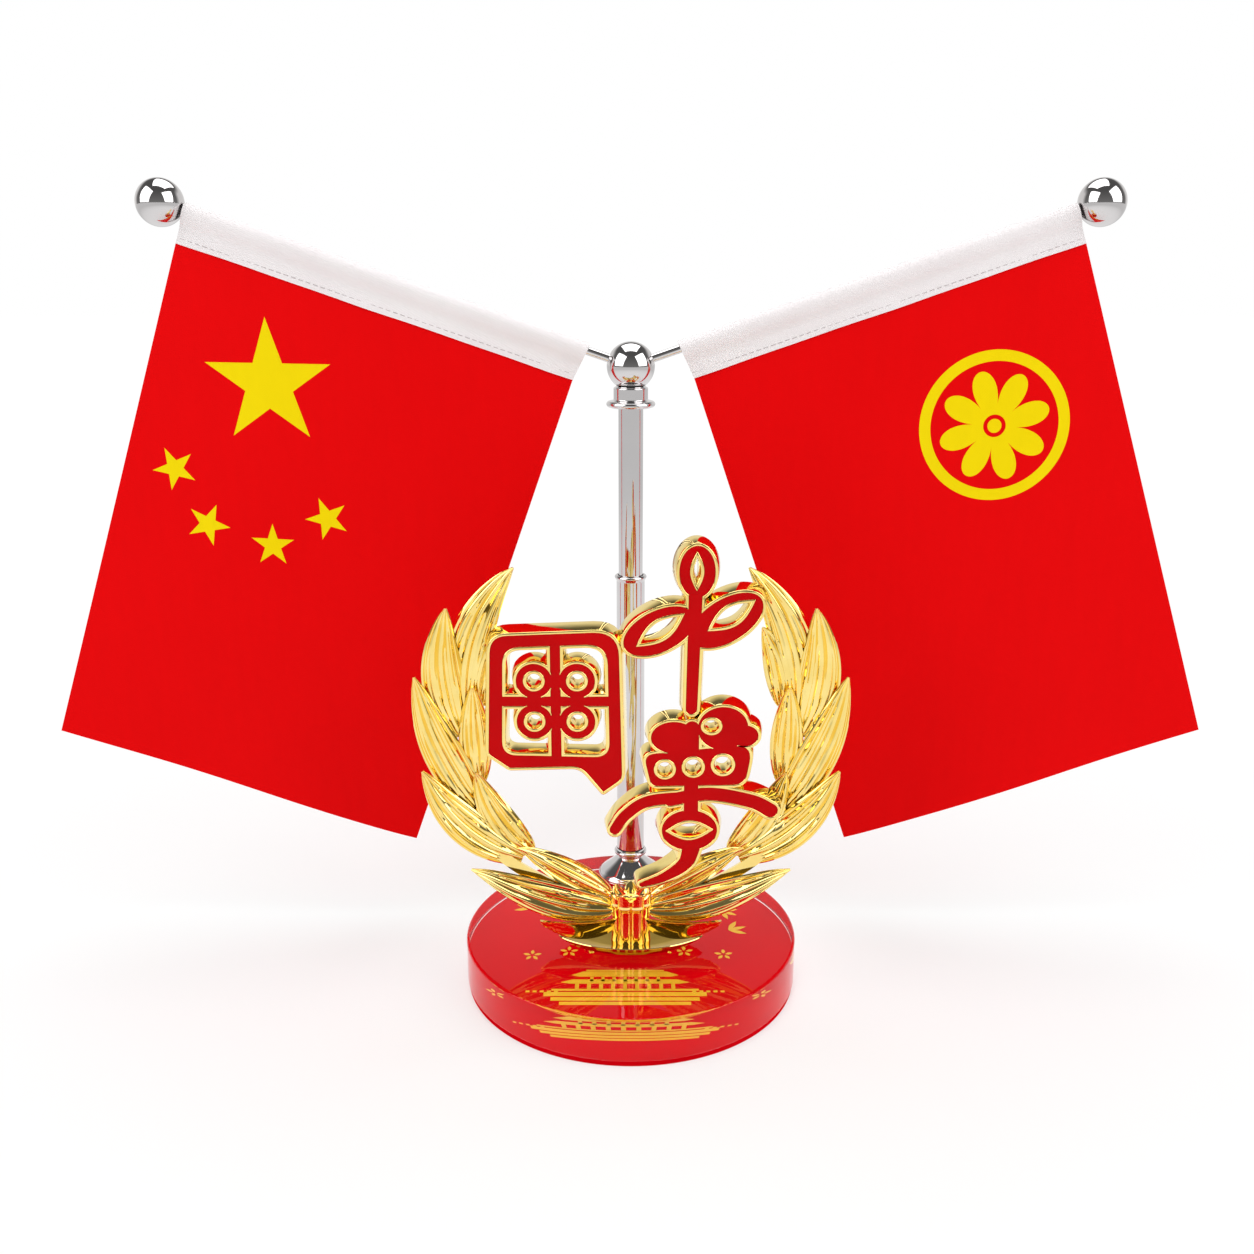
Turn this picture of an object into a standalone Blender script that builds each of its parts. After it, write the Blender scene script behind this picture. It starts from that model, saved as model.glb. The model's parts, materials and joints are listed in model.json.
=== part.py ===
"""Desk flag stand: clear disc base, telescopic pole, two flags on rods, wreath with an enamelled ornament.

Metres, +Z up, +X to the viewer's right, +Y away from the viewer.
The origin is the centre of the base's underside.
"""

import math

import bmesh
import bpy
from mathutils import Vector
from mathutils.geometry import delaunay_2d_cdt

MM = 0.001

# ---- driving dimensions, in millimetres ----

GAP = 0.3                        # between pieces that touch

BASE_RADIUS = 58.7
BASE_TOP = 17.3
BASE_BEVEL = 0.9
MAT_RADIUS = 57.2
MAT_THICKNESS = 1.0
PRINT_RADIUS = 58.2
PRINT_THICKNESS = 0.3

POLE_Y = 42.5                    # pole axis behind the base's centre
SCREW_RADIUS = 2.5
SCREW_HEAD_RADIUS = 4.4
COUNTERBORE_RADIUS = 5.6
COUNTERBORE_DEPTH = 5.0
FOOT_RADIUS = 12.4
FOOT_BEAD_RADIUS = 6.25
FOOT_TOP = 28.7                  # face that the lower tube stands on
SPIGOT_TOP = 38.4

LOWER_TUBE_RADIUS = 5.2
UPPER_TUBE_RADIUS = 4.4
TUBE_WALL = 0.5
LOWER_TUBE_TOP = 138.2
UPPER_TUBE_BOTTOM = 72.0
PLUG_RADIUS = 4.6

HUB_Z = 212.7
HUB_RADIUS = 8.55
FLANGE_RADIUS = 8.65
FLANGE_BOTTOM = 198.35
FLANGE_TOP = 201.0
NECK_RADIUS = 6.1
NECK_TOP = 205.6
STUD_RADIUS = 2.0

ROD_RISE = math.radians(18.85)   # each rod above the horizontal
ROD_RADIUS = 1.5
ROD_START = 4.0                  # distances along a rod, from the hub's centre
FINIAL_CENTRE = 168.6
FINIAL_RADIUS = 8.05

FLAG_INNER = 20.4                # inner and outer edge of a flag along its rod
FLAG_HOIST = 140.0
SLEEVE_TOP = 2.7                 # above the rod's axis
SLEEVE_DEPTH = 11.4              # below the rod's axis
FLAG_DROP = 198.3                # rod's axis to the flag's bottom edge
CLOTH = 0.8

WREATH_Y = -9.5                  # mid-plane of the leaves
FOOT_Y = -12.0                   # middle of the dish and of the band
LEAF_THICKNESS = 3.6
DISH_HALF_LENGTH = 26.5
DISH_FRONT = 9.8                 # dish edge before and behind its middle
DISH_BACK = 8.0
DISH_HEIGHT = 2.6
PEG_X = 14.0
PEG_RADIUS = 2.0
PEG_DEPTH = 5.0

CASTING_FRONT = -18.8            # front face of the ornament's gold plates
CASTING_DEPTH = 6.6
RIM = 1.0                        # gold edge left round the enamel
ENAMEL_THICKNESS = 0.6

FINE = 28                        # sides of the larger round pieces
COARSE = 16                      # sides of rods and small holes


# ---- helpers ----

def clear_scene():
    for item in list(bpy.data.objects):
        bpy.data.objects.remove(item)


def material(name, colour, roughness, metallic=0.0, alpha=1.0):
    made = bpy.data.materials.new(name)
    made.use_nodes = True
    shader = made.node_tree.nodes["Principled BSDF"]
    shader.inputs["Base Color"].default_value = (*colour, 1.0)
    shader.inputs["Roughness"].default_value = roughness
    shader.inputs["Metallic"].default_value = metallic
    shader.inputs["Alpha"].default_value = alpha
    return made


def empty(name, place, turn=(0, 0, 0)):
    made = bpy.data.objects.new(name, None)
    made.location = Vector(place) * MM
    made.rotation_euler = turn
    bpy.context.collection.objects.link(made)
    return made


def finish(name, bm, surface=None, parent=None, smooth=True):
    """Turn a bmesh in millimetres into an object in metres."""
    bmesh.ops.remove_doubles(bm, verts=bm.verts, dist=1e-4)
    bmesh.ops.recalc_face_normals(bm, faces=bm.faces)
    bmesh.ops.scale(bm, vec=(MM, MM, MM), verts=bm.verts)
    mesh = bpy.data.meshes.new(name)
    bm.to_mesh(mesh)
    bm.free()
    if smooth:
        mesh.shade_smooth()
        mesh.set_sharp_from_angle(angle=math.radians(35))
    made = bpy.data.objects.new(name, mesh)
    if surface:
        mesh.materials.append(surface)
    made.parent = parent
    bpy.context.collection.objects.link(made)
    return made


def turned(profile, sides, close=False):
    """Spin a profile of (radius, height) points about Z into a closed solid."""
    bm = bmesh.new()
    verts = [bm.verts.new((r, 0, z)) for r, z in profile]
    edges = [bm.edges.new(pair) for pair in zip(verts, verts[1:])]
    if close:
        edges.append(bm.edges.new((verts[-1], verts[0])))
    bmesh.ops.spin(bm, geom=verts + edges, cent=(0, 0, 0), axis=(0, 0, 1),
                   angle=math.tau, steps=sides, use_merge=True)
    bmesh.ops.remove_doubles(bm, verts=bm.verts, dist=1e-4)
    return bm


def move(bm, x=0.0, y=0.0, z=0.0):
    bmesh.ops.translate(bm, vec=(x, y, z), verts=bm.verts)
    return bm


def cylinder(radius, low, high, sides=COARSE):
    return turned([(0, low), (radius, low), (radius, high), (0, high)], sides)


def along_x(bm):
    """Lay a piece that was turned about Z along X."""
    bmesh.ops.rotate(bm, cent=(0, 0, 0), verts=bm.verts, matrix=quarter_turn())
    return bm


def quarter_turn():
    return Vector((0, 0, 1)).rotation_difference(Vector((1, 0, 0))).to_matrix()


def combine(target, tools, operation):
    """Join or cut with hidden tool objects."""
    for tool in tools:
        tool.hide_render = True
        tool.display_type = 'WIRE'
        step = target.modifiers.new(operation.lower(), 'BOOLEAN')
        step.operation = operation
        step.object = tool


def ball(radius):
    bm = bmesh.new()
    bmesh.ops.create_uvsphere(bm, u_segments=22, v_segments=12, radius=radius)
    return bm


# ---- flat outlines, as lists of (x, z) ----

def arc(cx, cz, rx, rz, start, stop, count):
    points = []
    for i in range(count + 1):
        a = math.radians(start + (stop - start) * i / count)
        points.append((cx + rx * math.cos(a), cz + rz * math.sin(a)))
    return points


def oval(cx, cz, rx, rz, tilt=0.0, count=16):
    turn = math.radians(tilt)
    points = []
    for i in range(count):
        a = math.tau * i / count
        u, v = rx * math.cos(a), rz * math.sin(a)
        points.append((cx + u * math.cos(turn) - v * math.sin(turn),
                       cz + u * math.sin(turn) + v * math.cos(turn)))
    return points


def almond(start, stop, width, grow=0.0, count=6):
    """A pointed leaf outline between two points, grown outwards all round."""
    a, b = Vector(start), Vector(stop)
    along = (b - a).normalized()
    a, b = a - along * grow * 1.6, b + along * grow * 1.6
    across = Vector((-along.y, along.x))
    half = width / 2 + grow
    side = [(i / count, math.sin(math.pi * i / count) * half) for i in range(count + 1)]
    points = [a.lerp(b, t) + across * w for t, w in side]
    points += [a.lerp(b, t) - across * w for t, w in reversed(side[1:-1])]
    return [tuple(p) for p in points]


def rounded(corners, grow=0.0, count=3):
    """A polygon whose corners, given anticlockwise as (x, z, radius), are moved out and rounded."""
    total = len(corners)
    moved = []
    for i, (x, z, radius) in enumerate(corners):
        here = Vector((x, z))
        into = (here - Vector(corners[i - 1][:2])).normalized()
        out = (Vector(corners[(i + 1) % total][:2]) - here).normalized()
        first, second = Vector((into.y, -into.x)), Vector((out.y, -out.x))
        corner = (first + second).normalized()
        convex = 1 if into.cross(out) > 0 else -1
        moved.append((here + corner * grow / corner.dot(first), max(0.4, radius + convex * grow)))
    points = []
    for i, (here, radius) in enumerate(moved):
        before = (moved[i - 1][0] - here).normalized()
        after = (moved[(i + 1) % total][0] - here).normalized()
        reach = radius / math.tan(before.angle(after) / 2)
        first, last = here + before * reach, here + after * reach
        for k in range(count + 1):
            t = k / count
            points.append(tuple(first.lerp(here, t).lerp(here.lerp(last, t), t)))
    return points


def smooth_line(points, count):
    """Points of a smooth curve through the given ones (Catmull-Rom)."""
    ends = [points[0]] + list(points) + [points[-1]]
    line = []
    for i in range(len(points) - 1):
        p0, p1, p2, p3 = (Vector(p) for p in ends[i:i + 4])
        for k in range(count):
            t = k / count
            line.append(0.5 * (2 * p1 + (p2 - p0) * t + (2 * p0 - 5 * p1 + 4 * p2 - p3) * t * t
                               + (3 * p1 - p0 - 3 * p2 + p3) * t * t * t))
    line.append(Vector(points[-1]))
    return line


def ribbon(points, start_width, end_width, count=3, cap=4):
    """The outline of a curved stroke with round ends."""
    line = smooth_line(points, count)
    left, right = [], []
    last = len(line) - 1
    for i, p in enumerate(line):
        way = (line[min(i + 1, last)] - line[max(i - 1, 0)]).normalized()
        across = Vector((-way.y, way.x))
        half = (start_width + (end_width - start_width) * i / last) / 2
        left.append(p + across * half)
        right.append(p - across * half)
    return ([tuple(p) for p in left] + round_end(left[-1], right[-1], cap)
            + [tuple(p) for p in reversed(right)] + round_end(right[0], left[0], cap))


def round_end(a, b, count):
    centre = (a + b) / 2
    arm = a - centre
    points = []
    for k in range(1, count):
        turn = -math.pi * k / count
        points.append((centre.x + arm.x * math.cos(turn) - arm.y * math.sin(turn),
                       centre.y + arm.x * math.sin(turn) + arm.y * math.cos(turn)))
    return points


# ---- plates cut from flat outlines ----

def anticlockwise(outline):
    area = sum(a[0] * b[1] - b[0] * a[1] for a, b in zip(outline, outline[1:] + outline[:1]))
    return outline if area > 0 else outline[::-1]


def layer(outlines, keep, level):
    """Faces at y = level wherever keep() accepts the list of outlines that hold them."""
    verts, faces = [], []
    for outline in outlines:
        first = len(verts)
        verts += [Vector(p) for p in anticlockwise(outline)]
        faces.append(list(range(first, len(verts))))
    result = delaunay_2d_cdt(verts, [], faces, 1, 1e-4)
    points, triangles, owners = result[0], result[2], result[5]
    bm = bmesh.new()
    made = [bm.verts.new((p.x, level, p.y)) for p in points]
    for triangle, inside in zip(triangles, owners):
        if keep(inside):
            bm.faces.new([made[i] for i in triangle])
    bmesh.ops.delete(bm, geom=[v for v in bm.verts if not v.link_faces], context='VERTS')
    return bm


def thicken(bm, depth):
    """Extrude a layer of faces along +Y into a closed plate."""
    grown = bmesh.ops.extrude_face_region(bm, geom=list(bm.faces), use_keep_orig=True)
    moved = [item for item in grown["geom"] if isinstance(item, bmesh.types.BMVert)]
    bmesh.ops.translate(bm, vec=(0, depth, 0), verts=moved)
    return bm


def openwork(name, design, gold, enamel):
    """A gold casting and the enamel plate on its face.

    design(grow) gives the outlines, with their edges moved outwards by grow, and the test of
    which places between them are solid.
    """
    outlines, keep = design(0.0)
    finish(name + "_casting", thicken(layer(outlines, keep, CASTING_FRONT), CASTING_DEPTH), gold,
           smooth=False)
    outlines, keep = design(-RIM)
    face = CASTING_FRONT - GAP - ENAMEL_THICKNESS
    finish(name + "_enamel", thicken(layer(outlines, keep, face), ENAMEL_THICKNESS), enamel,
           smooth=False)


def union_less(shapes, holes):
    """Outlines and test for the union of the shapes less the holes."""
    solid = len(shapes)
    return shapes + holes, lambda inside: inside and max(inside) < solid


# ---- the base ----

def make_base(acrylic, printed, rubber):
    print_bottom = MAT_THICKNESS + GAP
    print_top = print_bottom + PRINT_THICKNESS
    disc_bottom = print_top + GAP
    finish("base_mat", cylinder(MAT_RADIUS, 0, MAT_THICKNESS, 48), rubber)
    finish("base_print", cylinder(PRINT_RADIUS, print_bottom, print_top, 48), printed)
    small = BASE_BEVEL / 2
    disc = finish("base_disc", turned([
        (0, disc_bottom), (BASE_RADIUS - small, disc_bottom), (BASE_RADIUS, disc_bottom + small),
        (BASE_RADIUS, BASE_TOP - BASE_BEVEL), (BASE_RADIUS - BASE_BEVEL, BASE_TOP), (0, BASE_TOP),
    ], 60), acrylic)
    screw_hole = cylinder(SCREW_RADIUS + GAP, 0, BASE_TOP + 1)
    counterbore = cylinder(COUNTERBORE_RADIUS, 0, disc_bottom + COUNTERBORE_DEPTH)
    tools = [finish("cut_screw_hole", move(screw_hole, y=POLE_Y)),
             finish("cut_counterbore", move(counterbore, y=POLE_Y))]
    for side, sign in (("left", -1), ("right", 1)):
        hole = cylinder(PEG_RADIUS + GAP, BASE_TOP - PEG_DEPTH - GAP, BASE_TOP + 1, 16)
        tools.append(finish("cut_peg_" + side, move(hole, x=sign * PEG_X, y=FOOT_Y)))
    combine(disc, tools, 'DIFFERENCE')
    return disc_bottom + COUNTERBORE_DEPTH


# ---- the pole ----

def make_pole(counterbore_top, chrome, steel, plastic):
    washer_bottom = counterbore_top - 1.7
    washer = turned([(SCREW_RADIUS + GAP, washer_bottom), (COUNTERBORE_RADIUS - GAP, washer_bottom),
                     (COUNTERBORE_RADIUS - GAP, counterbore_top - GAP),
                     (SCREW_RADIUS + GAP, counterbore_top - GAP)], COARSE, close=True)
    finish("pole_washer", move(washer, y=POLE_Y), steel)
    head_top = washer_bottom - GAP
    screw = turned([(0, head_top - 2.6), (SCREW_HEAD_RADIUS - 0.4, head_top - 2.6),
                    (SCREW_HEAD_RADIUS, head_top - 2.0), (SCREW_HEAD_RADIUS, head_top),
                    (SCREW_RADIUS, head_top), (SCREW_RADIUS, 32.0), (SCREW_RADIUS - 0.6, 32.8),
                    (0, 32.8)], COARSE)
    finish("pole_screw", move(screw, y=POLE_Y), steel)

    bottom = BASE_TOP + GAP
    bore = SCREW_RADIUS + GAP
    spigot = LOWER_TUBE_RADIUS - TUBE_WALL - 0.4
    foot = turned([
        (0, 34.0), (bore, 34.0), (bore, bottom), (FOOT_RADIUS - 0.4, bottom),
        (FOOT_RADIUS, bottom + 0.8), (FOOT_RADIUS - 0.25, bottom + 1.8), (11.2, bottom + 3.0),
        (9.5, bottom + 4.0), (7.3, bottom + 4.8), (5.6, bottom + 5.6), (4.7, bottom + 6.6),
        (4.75, bottom + 7.4), (5.3, bottom + 8.4), (FOOT_BEAD_RADIUS - 0.25, bottom + 9.2),
        (FOOT_BEAD_RADIUS, bottom + 9.9), (FOOT_BEAD_RADIUS - 0.15, bottom + 10.6),
        (5.6, FOOT_TOP), (spigot, FOOT_TOP), (spigot, SPIGOT_TOP - 0.5),
        (spigot - 0.5, SPIGOT_TOP), (0, SPIGOT_TOP),
    ], FINE)
    finish("pole_foot", move(foot, y=POLE_Y), chrome)

    top, r = LOWER_TUBE_TOP, LOWER_TUBE_RADIUS
    bead = 0.55
    outer = turned([
        (r - TUBE_WALL, FOOT_TOP + GAP), (r, FOOT_TOP + GAP), (r, top - 2.4), (r + bead, top - 1.7),
        (r + bead, top - 0.7), (r, top), (r - TUBE_WALL, top),
    ], 24, close=True)
    finish("lower_tube", move(outer, y=POLE_Y), chrome)

    mast = empty("pole_axis", (0, POLE_Y, 0))
    inner = turned([
        (UPPER_TUBE_RADIUS - TUBE_WALL, UPPER_TUBE_BOTTOM), (UPPER_TUBE_RADIUS, UPPER_TUBE_BOTTOM),
        (UPPER_TUBE_RADIUS, FLANGE_BOTTOM - GAP),
        (UPPER_TUBE_RADIUS - TUBE_WALL, FLANGE_BOTTOM - GAP),
    ], 24, close=True)
    finish("upper_tube", inner, chrome, mast)
    inside = UPPER_TUBE_RADIUS - TUBE_WALL - GAP
    plug_shoulder = UPPER_TUBE_BOTTOM - GAP
    plug = turned([
        (0, plug_shoulder - 3.0), (PLUG_RADIUS - 0.3, plug_shoulder - 3.0),
        (PLUG_RADIUS, plug_shoulder - 2.6), (PLUG_RADIUS, plug_shoulder), (inside, plug_shoulder),
        (inside, UPPER_TUBE_BOTTOM + 8.0), (0, UPPER_TUBE_BOTTOM + 8.0),
    ], COARSE)
    finish("tube_plug", plug, plastic, mast)

    seat = HUB_RADIUS + GAP
    hole = STUD_RADIUS + GAP
    stud_bottom = 193.8
    bowl = [(r, HUB_Z - math.sqrt(seat * seat - r * r)) for r in (hole, 3.3, 4.3, 5.2)]
    collar = turned([
        (0, stud_bottom - GAP), (hole, stud_bottom - GAP), *bowl, (NECK_RADIUS - 0.2, NECK_TOP),
        (NECK_RADIUS, NECK_TOP - 0.3), (NECK_RADIUS, FLANGE_TOP + 0.2),
        (NECK_RADIUS + 0.2, FLANGE_TOP), (FLANGE_RADIUS - 0.7, FLANGE_TOP),
        (FLANGE_RADIUS - 0.15, FLANGE_TOP - 0.5), (FLANGE_RADIUS, FLANGE_TOP - 1.3),
        (FLANGE_RADIUS - 0.15, FLANGE_TOP - 2.1), (FLANGE_RADIUS - 0.7, FLANGE_BOTTOM),
        (inside, FLANGE_BOTTOM), (inside, FLANGE_BOTTOM - 8.0), (inside - 0.3, FLANGE_BOTTOM - 8.3),
        (0, FLANGE_BOTTOM - 8.3),
    ], FINE)
    finish("hub_collar", collar, chrome, mast)
    finish("hub_stud", cylinder(STUD_RADIUS, stud_bottom, HUB_Z - 3.1), steel, mast)


def rod_frame(name, side):
    """An empty at the hub whose X runs out along a rod and whose -Z runs down the flag."""
    half_turn = 0.0 if side > 0 else math.pi
    return empty(name, (0, POLE_Y, HUB_Z), (0, -ROD_RISE, half_turn))


def make_head(chrome):
    centre = empty("hub_centre", (0, POLE_Y, HUB_Z))
    hub = finish("hub_ball", ball(HUB_RADIUS), chrome, centre)
    tools = [finish("cut_stud_hole", cylinder(STUD_RADIUS + GAP, -HUB_RADIUS - 1, -2.6), None, centre)]
    for side, sign in (("left", -1), ("right", 1)):
        frame = rod_frame("rod_axis_" + side, sign)
        bar = along_x(cylinder(ROD_RADIUS, ROD_START, FINIAL_CENTRE - 3.0))
        finish("rod_" + side, bar, chrome, frame)
        bore = along_x(cylinder(ROD_RADIUS + GAP, ROD_START - 0.4, HUB_RADIUS + 1))
        tools.append(finish("cut_rod_hole_" + side, bore, None, frame))
        finial = finish("finial_" + side, move(ball(FINIAL_RADIUS), x=FINIAL_CENTRE), chrome, frame)
        start, stop = FINIAL_CENTRE - FINIAL_RADIUS - 1, FINIAL_CENTRE - 2.6
        thread = along_x(cylinder(ROD_RADIUS + GAP, start, stop))
        combine(finial, [finish("cut_finial_" + side, thread, None, frame)], 'DIFFERENCE')
    combine(hub, tools, 'DIFFERENCE')


# ---- the flags ----

def make_flags(tape, cloth):
    outer = FLAG_INNER + FLAG_HOIST
    for side, sign in (("left", -1), ("right", 1)):
        frame = rod_frame("flag_axis_" + side, sign)
        hem = CLOTH * 0.75
        outline = arc(0, 0, SLEEVE_TOP, SLEEVE_TOP, -20, 200, 10)
        outline += [(-hem, -5.5), (-hem, -SLEEVE_DEPTH), (hem, -SLEEVE_DEPTH), (hem, -5.5)]
        bm = bmesh.new()
        face = bm.faces.new([bm.verts.new((FLAG_INNER, y, z)) for y, z in outline])
        length = FINIAL_CENTRE - FINIAL_RADIUS - GAP - FLAG_INNER
        grown = bmesh.ops.extrude_face_region(bm, geom=[face], use_keep_orig=True)
        moved = [item for item in grown["geom"] if isinstance(item, bmesh.types.BMVert)]
        bmesh.ops.translate(bm, vec=(length, 0, 0), verts=moved)
        sleeve = finish("flag_sleeve_" + side, bm, tape, frame)
        tunnel = along_x(cylinder(ROD_RADIUS + 0.45, FLAG_INNER - 1, outer + 1, 20))
        combine(sleeve, [finish("cut_tunnel_" + side, tunnel, None, frame)], 'DIFFERENCE')

        bm = bmesh.new()
        bmesh.ops.create_cube(bm, size=1.0)
        top = SLEEVE_DEPTH + GAP
        bmesh.ops.scale(bm, vec=(FLAG_HOIST, CLOTH, FLAG_DROP - top), verts=bm.verts)
        move(bm, x=FLAG_INNER + FLAG_HOIST / 2, z=-(FLAG_DROP + top) / 2)
        finish("flag_panel_" + side, bm, cloth, frame, smooth=False)


# ---- the wreath ----

# Each leaf of a branch as (base, bend, tip, width, depth step), x outwards from the middle.
BRANCH_LEAVES = [
    ((9.8, 32.4), (27.0, 34.5), (53.8, 47.6), 9.5, 0.00),
    ((9.8, 35.0), (24.0, 43.0), (38.4, 53.4), 8.0, 0.35),
    ((26.0, 38.0), (56.0, 52.0), (69.8, 82.6), 12.0, -0.35),
    ((24.0, 41.0), (41.0, 56.0), (52.6, 80.6), 11.0, 0.55),
    ((52.0, 60.0), (71.0, 90.0), (70.4, 115.4), 13.0, 0.15),
    ((50.0, 62.0), (53.5, 92.0), (50.6, 111.0), 9.5, -0.55),
    ((62.0, 86.0), (68.0, 116.0), (59.2, 138.8), 13.0, -0.20),
    ((56.0, 90.0), (50.0, 114.0), (42.2, 130.4), 11.0, 0.45),
    ((60.0, 98.0), (57.0, 130.0), (38.6, 152.0), 12.0, 0.05),
]
LOW_LEAF = ((9.4, 25.6), (20.0, 24.2), (31.2, 26.4), 5.6, 0.0)


def leaf(base, bend, tip, width, step, side, stations=6):
    """A pointed lens-shaped leaf along a bent spine in a plane of constant y."""
    a, b, c = Vector(base), Vector(bend), Vector(tip)
    bm = bmesh.new()
    rings = []
    for i in range(stations):
        t = i / stations
        spine = a.lerp(b, t).lerp(b.lerp(c, t), t)
        way = (b - a).lerp(c - b, t).normalized()
        across = Vector((-way.y, way.x))
        swell = 0.35 * (1 - t) + 0.82 * math.sin(math.pi * t ** 0.8)
        half = width / 2 * swell
        thick = LEAF_THICKNESS / 2 * min(1.0, 0.35 + swell * 0.65)
        ring = []
        for u, v in ((1, 0), (0.45, 1), (-0.45, 1), (-1, 0), (-0.45, -1), (0.45, -1)):
            flat = spine + across * (u * half)
            ring.append(bm.verts.new((side * flat.x, WREATH_Y + step + v * thick, flat.y)))
        rings.append(ring)
    point = bm.verts.new((side * c.x, WREATH_Y + step, c.y))
    for low, high in zip(rings, rings[1:]):
        for k in range(6):
            bm.faces.new((low[k], low[(k + 1) % 6], high[(k + 1) % 6], high[k]))
    for k in range(6):
        bm.faces.new((rings[-1][k], rings[-1][(k + 1) % 6], point))
    bm.faces.new(rings[0])
    return bm


def make_wreath(gold):
    for side, sign in (("left", -1), ("right", 1)):
        first, *others = BRANCH_LEAVES
        branch = finish("wreath_branch_" + side, leaf(*first, sign), gold, smooth=False)
        tools = [finish(f"join_leaf_{side}_{i}", leaf(*one, sign), smooth=False)
                 for i, one in enumerate(others)]
        combine(branch, tools, 'UNION')
        low = move(leaf(*LOW_LEAF, sign), y=FOOT_Y - WREATH_Y)
        finish("wreath_low_leaf_" + side, low, gold, smooth=False)

    bottom = BASE_TOP + GAP
    outline = arc(0, FOOT_Y, DISH_HALF_LENGTH, DISH_FRONT, 180, 360, 18)[:-1]
    outline += arc(0, FOOT_Y, DISH_HALF_LENGTH, DISH_BACK, 0, 180, 18)[:-1]
    bm = bmesh.new()
    floor = bm.faces.new([bm.verts.new((x, y, bottom)) for x, y in outline])
    grown = bmesh.ops.extrude_face_region(bm, geom=[floor], use_keep_orig=True)
    moved = [item for item in grown["geom"] if isinstance(item, bmesh.types.BMVert)]
    bmesh.ops.translate(bm, vec=(0, 0, DISH_HEIGHT), verts=moved)
    top = [item for item in grown["geom"] if isinstance(item, bmesh.types.BMFace)]
    bmesh.ops.recalc_face_normals(bm, faces=bm.faces)
    bmesh.ops.inset_region(bm, faces=top, thickness=1.1, use_even_offset=True)
    bmesh.ops.inset_region(bm, faces=top, thickness=0.4, depth=-1.4, use_even_offset=True)
    dish = finish("wreath_foot", bm, gold)
    pegs = []
    for side, sign in (("left", -1), ("right", 1)):
        peg = cylinder(PEG_RADIUS, BASE_TOP - PEG_DEPTH, bottom + 0.5, 16)
        pegs.append(finish("join_peg_" + side, move(peg, x=sign * PEG_X, y=FOOT_Y)))
    combine(dish, pegs, 'UNION')

    band_bottom = bottom + DISH_HEIGHT - 1.4 + GAP
    band = turned([(0, band_bottom), (7.0, band_bottom), (6.5, 24.0), (6.4, 28.5), (7.2, 33.0),
                   (7.9, 37.0), (7.2, 38.6), (0, 38.6)], COARSE)
    bmesh.ops.scale(band, vec=(1, 0.84, 1), verts=band.verts)
    finish("wreath_band", move(band, y=FOOT_Y), gold)


# ---- the ornament ----

def lattice_design(grow):
    """A framed window crossed by bars, with a ring in each quarter."""
    frame = rounded([(-48.0, 91.4, 3), (-40.5, 86.0, 3), (-17.0, 86.6, 6), (-9.4, 77.0, 1.2),
                     (-2.0, 82.5, 5), (-3.2, 134.8, 9), (-46.4, 133.2, 7)], grow)
    window = rounded([(-41.6, 92.4, 4), (-8.0, 91.6, 4), (-8.6, 128.8, 6), (-40.6, 127.6, 5)], -grow)
    middle_x, middle_z, reach = -24.6, 110.2, 7.0
    quarters = [(middle_x + reach * x, middle_z + reach * z) for x in (-1, 1) for z in (-1, 1)]
    width = 5.2 + 2 * grow
    bars = [ribbon([(middle_x, 130.0), (middle_x, 90.0)], width, width, 1, 2),
            ribbon([(-43.0, middle_z), (-6.0, middle_z)], width, width, 1, 2)]
    bars += [oval(x, z, 6.8 + grow, 6.8 + grow, count=14) for x, z in quarters]
    holes = [oval(x, z, 2.6 - grow, 2.6 - grow, count=8) for x, z in quarters]
    first_hole = 2 + len(bars)

    def keep(inside):
        in_ring = 0 in inside and 1 not in inside
        in_bar = any(2 <= owner < first_hole for owner in inside)
        return (in_ring or in_bar) and max(inside) < first_hole

    return [frame, window] + bars + holes, keep


def bud_design(grow):
    """A bud on a stem with a broad leaf on each side."""
    shapes = [oval(21.0, 153.6, 6.7 + grow, 9.4 + grow),
              oval(9.0, 134.0, 13.4 + grow, 7.8 + grow, 27),
              oval(30.6, 137.6, 14.0 + grow, 8.0 + grow, 33),
              ribbon([(20.6, 150.0), (20.2, 130.0), (19.7, 107.6)], 6.4 + 2 * grow, 5.6 + 2 * grow, 1)]
    holes = [almond((4.0, 130.6), (14.6, 138.2), 3.4, 1 - grow),
             almond((27.0, 135.8), (37.2, 142.8), 3.6, 1 - grow),
             almond((20.9, 150.4), (20.9, 157.2), 0.6, 1 - grow, 4)]
    return union_less(shapes, holes)


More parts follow.
